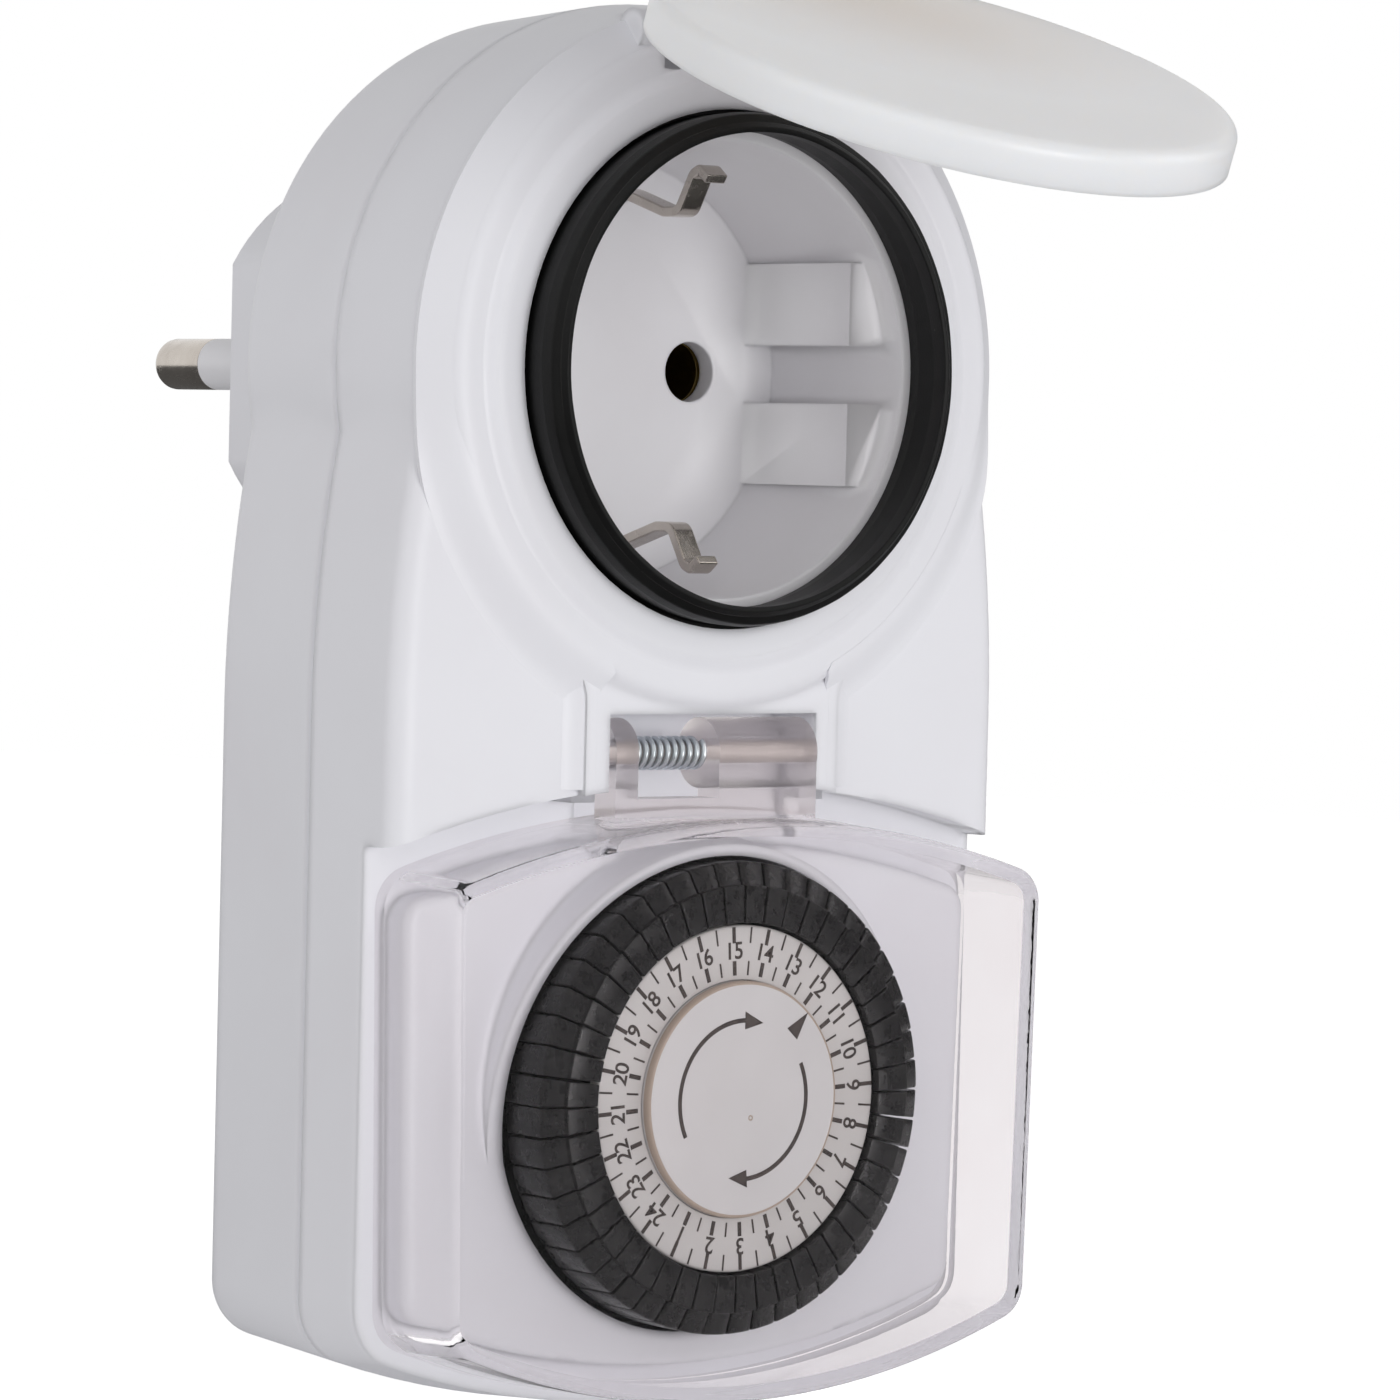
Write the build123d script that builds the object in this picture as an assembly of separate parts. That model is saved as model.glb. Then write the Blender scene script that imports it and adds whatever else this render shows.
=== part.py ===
"""Plug-in 24 hour timer switch with a splash-proof socket, a tappet dial and a clear dial cover.

Frame: millimetres. The origin is the middle of the plug face, midway between the two pins.
-Y is the front (socket and dial), +Y the way the pins point, +X right seen from the front, +Z up.
"depth" is always measured back from the socket rim, so at(0) is the rim and at(PLUG_DEPTH) is Y = 0.
"""
import math
import os

from build123d import *

# ---------------------------------------------------------------- driving dimensions
PLUG_DEPTH = 54.5        # socket rim to plug face
WALL = 2.0               # housing wall
CLEAR = 0.3              # between parts that move past each other
FIT = 0.05               # running fit, on the radius

PIN_PITCH = 19.0         # earthed two-pin plug system
PIN_R = 2.4
PIN_LENGTH = 19.0
PIN_FLANGE = (3.6, 2.0)  # radius and thickness of the pin's flange behind the plug face
PIN_TAIL = (1.5, 3.5)    # radius and length of the tail that the contact bar is riveted to
BARE_PIN = 8.0           # metal tip left free by the insulating sleeve
SLEEVE_WALL = 0.45
SLEEVE_COLLAR_R = 3.0    # the sleeve is thicker where it passes through the plug face
WELL_R = 19.9            # socket well at the rim
WELL_FLOOR_R = 18.9
WELL_DEPTH = 17.5
WELL_SKIRT_R = 21.4
HOLE_R = 2.7             # pin hole in the well floor
KEY_X = 15.7             # inner faces of the key blocks
KEY_Z = (2.6, 9.9)
CONTACT_R = 3.45         # socket contact tube, outside
EARTH_WIDTH = 4.0
EARTH_METAL = 0.9
EARTH_Z = 17.75          # centre line of the earth strip along the plug boss
METAL = 0.8              # contact bars

FACE = 1.2               # depth of the front face
SEAM = 13.0              # depth of the joint between the two shells
LEDGE = 5.2              # depth of the ledge behind the dial cover
PLATEAU = 2.2            # depth of the raised plateau round the dial
BACK = 29.5              # depth of the rear wall's outside
DRAFT = 0.9              # how much narrower each shell is at its far end, on each side
ARCH_R = 32.1            # top of the housing, round the socket
HALF_WIDTH = 33.8
WAIST = 11.07            # degrees below the socket centre where the arch runs into the sides
SIDE_Z = -30.0           # the sides are straight below this height
BOTTOM_Z = -91.2
BOTTOM_R = 91.0
UPPER_SCREW = (5.2, 32.0)       # in from the arch, and degrees above the socket centre
LOWER_SCREW = (6.6, 13.2)       # in from the side, and up from the bottom
STEP_Z = -36.0           # arched lower edge of the upper front face
STEP_R = 108.0

COLLAR_R = ARCH_R - 2.5
COLLAR = -0.9            # depth of the collar's front
LIP_R = 25.5
LIP = -1.5
SEAL_R = 22.2
SEAL_INNER_R = 20.4
SEAL_FRONT = -5.5
FLANGE_R = 23.4          # flange of the socket insert and of the seal
SEAL_FLANGE = 0.5

BOSS_R = 18.3            # plug boss, round with two flats
BOSS_FLAT = 15.9
BOSS_END = 3.0           # wall behind the plug face

COVER_SIDE = 1.8         # from the side of the housing to the side of the cover
PLATEAU_SIDE = 3.4       # and to the side of the plateau under it
SIDE_TAPER = 0.8         # both are narrower at the bottom
COVER_FRONT = -7.0
COVER_BACK = 4.4
COVER_WALL = 1.4
COVER_DRAFT = 0.6
COVER_TOP_Z = -38.9
COVER_HINGE = (2.6, -33.4)      # depth, Z
COVER_PIN_R = 1.0
KNUCKLE_R = 3.1
SLOT_HALF = 11.3
SLOT_TOP_Z = -29.9
PEDESTAL = 0.2           # depth of the raised field round the hinge slot
PEDESTAL_HALF = 13.8

LID_R = 25.1
LID_FRONT = -7.4
LID_PLATE = 1.6
LID_RIM = 3.7
LID_HINGE = (0.74, 28.95)       # depth, Z
LID_PIN_R = 0.8
LID_OPEN = 69.4          # degrees open at rest
LID_SLOT_HALF = 8.0
LID_EAR_R = 1.8

DIAL_Z = -63.1           # dial centre below the socket centre
DIAL_FRONT = -4.6        # tappet fronts
TAPPETS = 48             # one for each half hour
TAPPETS_IN_GROUP = 4
TAPPET_R = 20.6
TAPPET_STEP_R = 18.6
TAPPET_GAP = 0.62        # degrees
PRESS = 2.0              # tappet travel
HEAD_BACK = 1.6
STEM_R = (16.6, 18.0)
STEM_WIDTH = 1.3
DRUM_R = 15.1
DRUM_FRONT = -2.8
DRUM_WALL = 1.4
FLANGE = (4.0, 5.2)      # depths of the flange that guides the tappets
DISC_R = 10.3
POST_R = 2.45

MODULE = 0.6
DIAL_TEETH, WHEEL_TEETH, PINION_TEETH = 54, 32, 10
MESH_DIAL, MESH_2, MESH_1 = 150.0, -75.0, -35.0     # directions from each gear to the next, degrees
AXLE_R = 0.75
GEAR_2 = (8.7, 11.4, 12.5)      # depths of the pinion's front, the wheel's front and its back
GEAR_1 = (11.1, 13.3, 14.4)
ROTOR_PINION = (12.8, 14.8)
PLATE = (15.2, 16.8)     # depths of the movement plate
PLATE_HALF = HALF_WIDTH - 5.3
CAN_R = 12.5
CAN_WALL = 0.8
CAN_BACK = 26.6
ROTOR_R = 7.4
LEAD_R = 0.7

LEVER = (5.8, 7.5)       # depths of the follower's nose arm
LEVER_PIVOT = (HALF_WIDTH - 8.8, -50.0)
BLADE_ROOT = (LEVER_PIVOT[0] - 0.2, -27.5)
BLADE = 0.4              # thickness of the contact blade
CONTACT_STRIP = 0.6
SWITCH_BLOCK = (14.5, 19.5)     # depths
BAR_WIDTH = 4.0
BAR_INSET = 4.9          # from the arch of the housing to the switched bar inside it
CONTACT_X = BLADE_ROOT[0] + 2.4     # inner face of the fixed contact strip
CONTACT = (8.0, 14.0)    # depths of the contact strips
RIVET_Z = -36.0

PLATE_SCREW_XZ = [(PLATE_HALF - 4.0, -71.5), (2.9 - PLATE_HALF, -71.5), (2.9 - PLATE_HALF, -43.5),
                  (14.0, -43.0)]
SCREW_R = 1.4
SCREW_HEAD_R = 2.5
PLATE_SCREW_R = 0.95

LIVE_X, NEUTRAL_X = PIN_PITCH / 2, -PIN_PITCH / 2


# ---------------------------------------------------------------- helpers
def at(depth):
    return depth - PLUG_DEPTH


def front_plane(depth):
    return Plane(origin=(0, at(depth), 0), x_dir=(1, 0, 0), z_dir=(0, -1, 0))


def slab(face, d_front, d_back):
    """A face drawn in (x, z), made solid from d_back forward to d_front."""
    return extrude(front_plane(d_back) * face, d_back - d_front)


def disc(r, d_front, d_back, x=0.0, z=0.0):
    middle = (d_front + d_back) / 2
    return Pos(x, at(middle), z) * Rot(90, 0, 0) * Cylinder(r, d_back - d_front)


def ring(r_out, r_in, d_front, d_back, x=0.0, z=0.0):
    return disc(r_out, d_front, d_back, x, z) - disc(r_in, d_front - 1, d_back + 1, x, z)


def block(x0, x1, d_front, d_back, z0, z1):
    size = (x1 - x0, d_back - d_front, z1 - z0)
    return Pos((x0 + x1) / 2, at((d_front + d_back) / 2), (z0 + z1) / 2) * Box(*size)


def rod_x(r, x0, x1, hinge):
    """A cylinder along a hinge line, which is given as (depth, z)."""
    return Pos((x0 + x1) / 2, at(hinge[0]), hinge[1]) * Rot(0, 90, 0) * Cylinder(r, x1 - x0)


def turned(points, x=0.0, z=0.0, arc=360.0, start=0.0):
    """Turn a closed outline of (radius, depth) points about a front-to-back axis."""
    face = make_face(Polyline(*[(r, at(d), 0) for r, d in points], close=True))
    return Pos(x, 0, z) * Rot(0, start, 0) * revolve(face, Axis.Y, arc)


def polar(r, degrees, x=0.0, z=0.0):
    a = math.radians(degrees)
    return x + r * math.cos(a), z + r * math.sin(a)


def both_sides(x, z):
    return [(x, z), (-x, z)]


def front_edges(solid):
    return solid.faces().sort_by(Axis.Y)[0].edges()


def back_edges(solid):
    return solid.faces().sort_by(Axis.Y)[-1].edges()


def strip(points, thickness, width):
    """A bent metal strip: its centre line in (depth, z), centred on X = 0."""
    sides = ([], [])
    legs = [math.atan2(b[1] - a[1], b[0] - a[0]) for a, b in zip(points, points[1:])]
    for i, (d, z) in enumerate(points):
        into, out = legs[max(i - 1, 0)], legs[min(i, len(legs) - 1)]
        bend = (out - into + math.pi) % (2 * math.pi) - math.pi
        mean = into + bend / 2
        reach = thickness / 2 / math.cos(bend / 2)
        for side, sign in zip(sides, (1, -1)):
            y, up = at(d - sign * reach * math.sin(mean)), z + sign * reach * math.cos(mean)
            side.append((-width / 2, y, up))
    face = make_face(Polyline(*(sides[0] + sides[1][::-1]), close=True))
    return extrude(face, width, dir=(1, 0, 0))


def gear(teeth, d_front, d_back, addendum, centre, tooth_at, bore):
    """Involute spur gear with a tooth centred on the angle tooth_at."""
    pitch_r = MODULE * teeth / 2
    base_r = pitch_r * math.cos(math.radians(20))
    tip_r = pitch_r + addendum * MODULE
    root_r = pitch_r - 1.2 * MODULE
    backlash = 0.14
    half = math.pi / (2 * teeth) - backlash / 2 / pitch_r

    def involute(r):
        a = math.acos(min(1.0, base_r / r))
        return math.tan(a) - a

    flank = [(r, half + involute(pitch_r) - involute(max(r, base_r)))
             for r in (root_r, pitch_r, tip_r)]
    points = []
    for tooth in range(teeth):
        middle = math.radians(tooth_at) + 2 * math.pi * tooth / teeth
        points += [(r * math.cos(middle - a), r * math.sin(middle - a)) for r, a in flank]
        points += [(r * math.cos(middle + a), r * math.sin(middle + a)) for r, a in reversed(flank)]
    blank = make_face(Polyline(*points, close=True))
    x, z = centre
    return Pos(x, 0, z) * (slab(blank, d_front, d_back) - disc(bore, d_front - 1, d_back + 1))


def coil(hinge, x0, x1, pin_r, wire_d, turns):
    """A torsion spring wound close on a hinge pin, its end turns touching x0 and x1."""
    start, run = x0 + wire_d / 2, x1 - x0 - wire_d
    path = Helix(pitch=run / turns, height=run, radius=pin_r + wire_d / 2, direction=(1, 0, 0))
    section = Plane(origin=path @ 0, z_dir=path % 0) * Circle(wire_d / 2)
    return Pos(start, at(hinge[0]), hinge[1]) * sweep(section, path)


def lead(points, leaving, arriving):
    """A soft lead through (x, depth, z) points, with its directions at both ends."""
    path = Spline(*[(x, at(d), z) for x, d, z in points], tangents=[leaving, arriving])
    return sweep(Plane(origin=path @ 0, z_dir=path % 0) * Circle(LEAD_R), path)


def swing(solid, hinge, degrees):
    """Swing a part open about a hinge line that runs along X."""
    y, z = at(hinge[0]), hinge[1]
    return Pos(0, y, z) * Rot(-degrees, 0, 0) * Pos(0, -y, -z) * solid


def slotted_screw(x, z, head_r, head, shank_r, tip, slot, cross=False):
    """A screw that faces the back: head and tip are depths, its head seated on head[0]."""
    screw = disc(head_r, *head, x, z) + disc(shank_r, tip, head[0], x, z)
    for turn in (0, 90) if cross else (0,):
        screw -= Pos(x, at(head[1]), z) * Rot(0, turn, 0) * Box(1.3 * head_r, 1.2, slot)
    return screw


SCREW_XZ = both_sides(*polar(ARCH_R - UPPER_SCREW[0], UPPER_SCREW[1]))
SCREW_XZ += both_sides(HALF_WIDTH - LOWER_SCREW[0], BOTTOM_Z + LOWER_SCREW[1])
parts = {}


# ---------------------------------------------------------------- outlines
def housing_outline(inset=0.0):
    """Arched top round the socket, sides that widen a little, bowed bottom."""
    arch = ARCH_R - inset
    half = HALF_WIDTH - inset
    bottom = BOTTOM_Z + inset
    bottom_r = BOTTOM_R - inset
    corner_z = bottom + bottom_r - math.sqrt(bottom_r**2 - half**2)
    waist = math.sin(math.radians(WAIST))
    side_r = (-SIDE_Z - ARCH_R * waist) / waist - inset
    wx, wz = polar(arch, -WAIST)
    mx, mz = polar(side_r, WAIST / 2, half - side_r, SIDE_Z)
    face = make_face([
        ThreePointArc((wx, wz), (0, arch), (-wx, wz)),
        ThreePointArc((-wx, wz), (-mx, mz), (-half, SIDE_Z)),
        Line((-half, SIDE_Z), (-half, corner_z)),
        ThreePointArc((-half, corner_z), (0, bottom), (half, corner_z)),
        Line((half, corner_z), (half, SIDE_Z)),
        ThreePointArc((half, SIDE_Z), (mx, mz), (wx, wz)),
    ])
    return fillet(face.vertices().sort_by(Axis.Y)[:2], 6.0 - inset)


def drafted(outline, wide, narrow, d_wide, d_narrow):
    """A solid between two insets of one outline, at two depths."""
    return loft([front_plane(d_wide) * outline(wide), front_plane(d_narrow) * outline(narrow)], ruled=True)


def arched_panel(top, top_r, bottom, bottom_r, half_top, half_bottom, corner):
    """Outline of the dial cover and of the plateau under it."""
    top_z = top - (top_r - math.sqrt(top_r**2 - half_top**2))
    low_z = bottom + (bottom_r - math.sqrt(bottom_r**2 - half_bottom**2))
    face = make_face([
        ThreePointArc((half_top, top_z), (0, top), (-half_top, top_z)),
        Line((-half_top, top_z), (-half_bottom, low_z)),
        ThreePointArc((-half_bottom, low_z), (0, bottom), (half_bottom, low_z)),
        Line((half_bottom, low_z), (half_top, top_z)),
    ])
    return fillet(face.vertices(), corner)


def plateau_outline(inset):
    half = HALF_WIDTH - PLATEAU_SIDE - inset
    return arched_panel(-41.2 - inset, 98, -87.0 + inset, 80, half, half - SIDE_TAPER, 2.5 - inset / 2)


def cover_outline(inset):
    half = HALF_WIDTH - COVER_SIDE - inset
    return arched_panel(COVER_TOP_Z - inset, 98 - inset, -89.2 + inset, 80 - inset, half, half - SIDE_TAPER,
                        3.2 - inset)


def below_step():
    """Everything below the arched lower edge of the upper front face."""
    reach, low = 45.0, -110.0
    edge_z = STEP_Z - (STEP_R - math.sqrt(STEP_R**2 - reach**2))
    return make_face([
        ThreePointArc((reach, edge_z), (0, STEP_Z), (-reach, edge_z)),
        Line((-reach, edge_z), (-reach, low)),
        Line((-reach, low), (reach, low)),
        Line((reach, low), (reach, edge_z)),
    ])


# ---------------------------------------------------------------- front shell
outside = drafted(housing_outline, 0, DRAFT, SEAM, FACE)
shell = fillet(front_edges(outside), 2.0)
shell -= slab(below_step(), FACE - 5, LEDGE)

# the raised field round the hinge slot runs into the collar with two hollow curves
field = Circle(COLLAR_R) + Pos(0, STEP_Z) * Rectangle(2 * PEDESTAL_HALF, -2 * STEP_Z) - below_step()
inner_corners = [v for v in field.vertices() if abs(abs(v.X) - PEDESTAL_HALF) < 0.01 and v.Y > -COLLAR_R]
field = slab(fillet(inner_corners, 5.0), PEDESTAL, LEDGE)
collar = fillet(front_edges(disc(COLLAR_R, COLLAR, LEDGE)), 1.7)
lip_ring = fillet(front_edges(disc(LIP_R, LIP, LEDGE)), 0.5)
shell += field + collar + lip_ring
shell += fillet(front_edges(slab(plateau_outline(0), PLATEAU, LEDGE + 1)), 0.8)

# low hood over the upper half of the dial, its front edge sloping down to the plateau
hood = turned([(TAPPET_R + 0.4, -3.4), (21.8, -3.4), (22.7, 3.0), (TAPPET_R + 0.4, 3.0)], z=DIAL_Z)
shell += hood & Pos(0, at(2.0), DIAL_Z - 4) * Rot(9, 0, 0) * Pos(0, 20, 0) * Box(60, 40, 90)

# hollow inside, one wall thick everywhere
hollow = drafted(housing_outline, WALL, WALL + DRAFT, SEAM, FACE)
hollow &= block(-40, 40, FACE + WALL, SEAM + 1, -100, 40)
shell -= hollow - Pos(0, 0, WALL) * slab(below_step(), FACE - 5, LEDGE + WALL)
shell -= slab(plateau_outline(WALL), PLATEAU + WALL, LEDGE + WALL + 1)

# guide round the socket insert, pockets behind the two hinges, ears for the lid's pin
shell += ring(FLANGE_R + CLEAR + 1.5, FLANGE_R + CLEAR, 0, 8.0)
shell += block(-PEDESTAL_HALF, PEDESTAL_HALF, FACE + 1, 8.4, -37.6, SLOT_TOP_Z + 1.7)
shell += block(-10.4, 10.4, FACE + 1, 6.2, 25.0, 33.0) & drafted(housing_outline, 0.5, 1.4, SEAM, FACE)
for x0 in (-10.4, LID_SLOT_HALF):
    shell += rod_x(LID_EAR_R, x0, x0 + 10.4 - LID_SLOT_HALF, LID_HINGE)
# screw posts, and the pin that the follower turns on
for x, z in SCREW_XZ:
    shell += disc(3.0, FACE + WALL - 0.5 if z > 0 else LEDGE + 0.5, SEAM, x, z)
for x, z in PLATE_SCREW_XZ:
    start = PLATEAU + WALL - 0.5 if z < -60 else LEDGE + WALL - 0.5
    shell += disc(2.3, start, PLATE[0], x, z)
shell += disc(1.2, PLATEAU + WALL - 0.5, PLATE[0], *LEVER_PIVOT)

# openings
shell -= disc(SEAL_R + CLEAR, LIP - 1, 0)
shell -= disc(FLANGE_R + CLEAR, -SEAL_FLANGE, SEAM)
shell -= disc(TAPPET_R + 0.4, DIAL_FRONT - 2, LEDGE + WALL + 1, 0, DIAL_Z)
shell -= block(-SLOT_HALF, SLOT_HALF, -5, 6.4, -40.5, SLOT_TOP_Z)
shell -= block(-LID_SLOT_HALF, LID_SLOT_HALF, -6, 4.6, 25.6, 34)
shell -= rod_x(COVER_PIN_R, -13.0, 13.0, COVER_HINGE) + rod_x(LID_PIN_R, -10.0, 10.0, LID_HINGE)
for x, z in SCREW_XZ:
    shell -= disc(SCREW_R, FACE + WALL + 1.5 if z > 0 else LEDGE + WALL, SEAM + 1, x, z)
for x, z in PLATE_SCREW_XZ:
    shell -= disc(PLATE_SCREW_R, 8.5, PLATE[0] + 1, x, z)
parts["front_shell"] = shell

# ---------------------------------------------------------------- rear shell
rear = drafted(housing_outline, 0, DRAFT, SEAM, BACK)
rear = fillet(back_edges(rear), 3.0)
boss_face = Circle(BOSS_R) & Rectangle(2 * BOSS_FLAT, 2 * BOSS_R)
boss = slab(boss_face, BACK - 1, PLUG_DEPTH)
rear += chamfer(back_edges(boss), 0.8)
hollow = drafted(housing_outline, WALL, WALL + DRAFT, SEAM, BACK)
rear -= hollow & block(-40, 40, SEAM - 1, BACK - WALL, -100, 40)
hollow_face = Circle(BOSS_R - WALL) & Rectangle(2 * (BOSS_FLAT - WALL), 2 * BOSS_R)
rear -= slab(hollow_face, BACK - WALL - 1, PLUG_DEPTH - BOSS_END)
for x, z in SCREW_XZ:
    rear += disc(3.3, SEAM, BACK - WALL + 0.5, x, z)
# posts that back up the socket insert
for sx in (1, -1):
    for sz in (1, -1):
        rear += disc(1.8, WELL_DEPTH + WALL, BACK - WALL + 0.5, sx * 14.5, sz * 14.5)
for x, z in SCREW_XZ:
    rear -= disc(SCREW_R + CLEAR, SEAM - 1, BACK + 1, x, z)
    rear -= disc(SCREW_HEAD_R + 0.2, BACK - 3.5, BACK + 1, x, z)
for x in (LIVE_X, NEUTRAL_X):
    rear -= disc(SLEEVE_COLLAR_R, PLUG_DEPTH - BOSS_END - 1, PLUG_DEPTH + 1, x, 0)
# grooves along the boss for the two earth strips
groove = EARTH_WIDTH / 2 + 0.1
for side in (1, -1):
    low, high = sorted((side * (EARTH_Z - EARTH_METAL / 2), side * (BOSS_R + 0.1)))
    rear -= block(-groove, groove, BACK - WALL - 1, PLUG_DEPTH - 0.9, low, high)
parts["rear_shell"] = rear

# ---------------------------------------------------------------- socket insert, seal and earth
well_back = WELL_DEPTH + WALL
well = turned([(WELL_R, 0), (FLANGE_R, 0), (FLANGE_R, 1.6), (WELL_SKIRT_R, 1.6), (WELL_SKIRT_R, well_back),
               (0, well_back), (0, WELL_DEPTH), (WELL_FLOOR_R, WELL_DEPTH)])
for x in (LIVE_X, NEUTRAL_X):
    side = math.copysign(1, x)
    for z0 in (KEY_Z[0], -KEY_Z[1]):
        z1 = z0 + KEY_Z[1] - KEY_Z[0]
        key = block(*sorted((side * KEY_X, side * 21.0)), 2.4, WELL_DEPTH + 0.5, z0, z1)
        well += key & disc(WELL_SKIRT_R - 0.2, 0, well_back)
    well += ring(CONTACT_R + 1.2, CONTACT_R, well_back - 0.5, 25.0, x)
    well -= disc(HOLE_R, WELL_DEPTH - 1, well_back + 0.5, x)
for side in (1, -1):
    low, high = sorted((side * 15.0, side * 16.9))
    well -= block(-EARTH_WIDTH / 2 - 0.2, EARTH_WIDTH / 2 + 0.2, WELL_DEPTH - 1, well_back + 1, low, high)
parts["socket_well"] = well

parts["socket_seal"] = turned([
    (SEAL_INNER_R, 0), (FLANGE_R, 0), (FLANGE_R, -SEAL_FLANGE), (SEAL_R, -SEAL_FLANGE), (SEAL_R, -4.4),
    (SEAL_R - 0.7, -4.9), (SEAL_INNER_R + 0.6, SEAL_FRONT), (SEAL_INNER_R, SEAL_FRONT)])

earth_line = [(PLUG_DEPTH - 1.2, EARTH_Z), (23.0, EARTH_Z), (20.6, 15.95), (14.0, 15.5), (8.1, 13.8),
              (6.0, 13.8), (4.0, 17.0), (3.0, 17.4), (1.8, 16.5)]
for name, side in (("earth_strap_top", 1), ("earth_strap_bottom", -1)):
    parts[name] = strip([(d, side * z) for d, z in earth_line], EARTH_METAL, EARTH_WIDTH)
bridge_end = EARTH_Z - EARTH_METAL / 2
parts["earth_bridge"] = block(-2, 2, 26.3, 26.3 + METAL, -bridge_end, bridge_end)

# ---------------------------------------------------------------- plug pins
pin_end = PLUG_DEPTH + PIN_LENGTH
sleeve = (PLUG_DEPTH - BOSS_END, pin_end - BARE_PIN)
neck = PIN_R - SLEEVE_WALL
flange_front = sleeve[0] - PIN_FLANGE[1]
tail_r, tail_front = PIN_TAIL[0], flange_front - PIN_TAIL[1]
for name, x in (("live", LIVE_X), ("neutral", NEUTRAL_X)):
    parts["plug_pin_" + name] = turned([
        (0, tail_front), (tail_r, tail_front), (tail_r, flange_front), (PIN_FLANGE[0], flange_front),
        (PIN_FLANGE[0], sleeve[0]),
        (neck, sleeve[0]), (neck, sleeve[1]), (PIN_R, sleeve[1]), (PIN_R, pin_end - 1.3),
        (1.9, pin_end - 0.4), (1.1, pin_end), (0, pin_end)], x)
    collar = ring(SLEEVE_COLLAR_R, neck, sleeve[0], PLUG_DEPTH, x)
    parts["pin_sleeve_" + name] = collar + ring(PIN_R, neck, PLUG_DEPTH, sleeve[1], x)

# ---------------------------------------------------------------- contacts and bars
tube_end = 37.5
for name, x in (("live", LIVE_X), ("neutral", NEUTRAL_X)):
    tube = ring(CONTACT_R, HOLE_R + FIT, well_back + 0.5, tube_end, x)
    for turn in (0, 90):
        tube -= Pos(x, at(32.5), 0) * Rot(0, turn, 0) * Box(8, 12, METAL)
    parts["socket_contact_" + name] = tube

bar_end = tail_front + METAL
bar_hole = disc(tail_r, tail_front - 1, bar_end + 1)
neutral_side = NEUTRAL_X - 4.1
neutral_bar = block(neutral_side, neutral_side + METAL, tube_end, bar_end, -2, 2)
neutral_bar += block(neutral_side, NEUTRAL_X + 3.1, tube_end, tube_end + METAL, -2, 2)
neutral_bar += block(neutral_side, NEUTRAL_X + 2.5, tail_front, bar_end, -2, 2)
parts["neutral_bar"] = neutral_bar - Pos(NEUTRAL_X, 0, 0) * bar_hole

# the live bar goes round the socket's tubes and down to the switch
blade_x, blade_z = BLADE_ROOT
run_x = (LIVE_X - 3.0, LIVE_X + 1.0)
run_depth = 22.0
low_z = BLADE_ROOT[1] - 5.5
live_end = CONTACT_X + CONTACT_STRIP + METAL
live_bar = block(run_x[0], LIVE_X + 2.5, tail_front, bar_end, -6.0, 2.2)
live_bar += block(*run_x, tail_front, bar_end, -12.0, -5.0)
live_bar += block(*run_x, run_depth, bar_end, -12.0, -12.0 + METAL)
live_bar += block(*run_x, run_depth, run_depth + METAL, low_z, -11.2)
live_bar += block(run_x[0], live_end, run_depth, run_depth + METAL, low_z, low_z + 4)
live_bar += block(live_end - METAL, live_end, 12.0, run_depth + METAL, low_z, low_z + 4)
parts["live_bar"] = live_bar - Pos(LIVE_X, 0, 0) * bar_hole

# the switched bar joins the blade to the live socket contact
switched_depth = (25.4, 25.4 + METAL)
switched_z = (blade_z + 0.3, blade_z + 4.3)
drop_x = (ARCH_R - BAR_INSET - BAR_WIDTH, ARCH_R - BAR_INSET)
foot_x = (min(drop_x[0], blade_x), max(drop_x[1], CONTACT_X))
switched_bar = block(LIVE_X, drop_x[1], *switched_depth, -2.6, 2.6) - disc(CONTACT_R, 25, 27, LIVE_X)
switched_bar += block(*drop_x, *switched_depth, switched_z[0], 2.6)
switched_bar += block(*foot_x, *switched_depth, *switched_z)
switched_bar += block(blade_x, blade_x + METAL, CONTACT[0], switched_depth[1], *switched_z)
parts["switched_bar"] = switched_bar

# ---------------------------------------------------------------- switch
block_end = HALF_WIDTH - PLATEAU_SIDE
switch_block = block(blade_x - 1.4, block_end, *SWITCH_BLOCK, low_z - 1.5, blade_z + 5.5)
for z0 in (blade_z + 3.5, low_z - 1.5):
    switch_block += block(block_end - 1.4, block_end, FACE + WALL, SWITCH_BLOCK[0] + 0.5, z0, z0 + 2.0)
through_block = (SWITCH_BLOCK[0] - 0.5, SWITCH_BLOCK[1] + 0.5)
switch_block -= block(blade_x, blade_x + METAL, *through_block, *switched_z)
switch_block -= block(live_end - METAL, live_end, *through_block, low_z, low_z + 4)
parts["switch_block"] = switch_block

rivet = Rot(0, 90, 0) * Cylinder(1.3, 0.8)
rivet_y = at(10.5)
strip_end = CONTACT_X + CONTACT_STRIP
fixed_contact = block(CONTACT_X, strip_end, *CONTACT, RIVET_Z - 2, blade_z + 1.5)
parts["fixed_contact"] = fixed_contact + Pos(CONTACT_X - 0.3, rivet_y, RIVET_Z) * rivet
blade = block(blade_x - BLADE / 2, blade_x + BLADE / 2, CONTACT[0], 13.0, RIVET_Z - 4, blade_z)
blade += disc(0.3, CONTACT[0], 13.0, blade_x, blade_z)
parts["contact_blade"] = blade + Pos(blade_x + 0.5, rivet_y, RIVET_Z) * rivet

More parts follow.
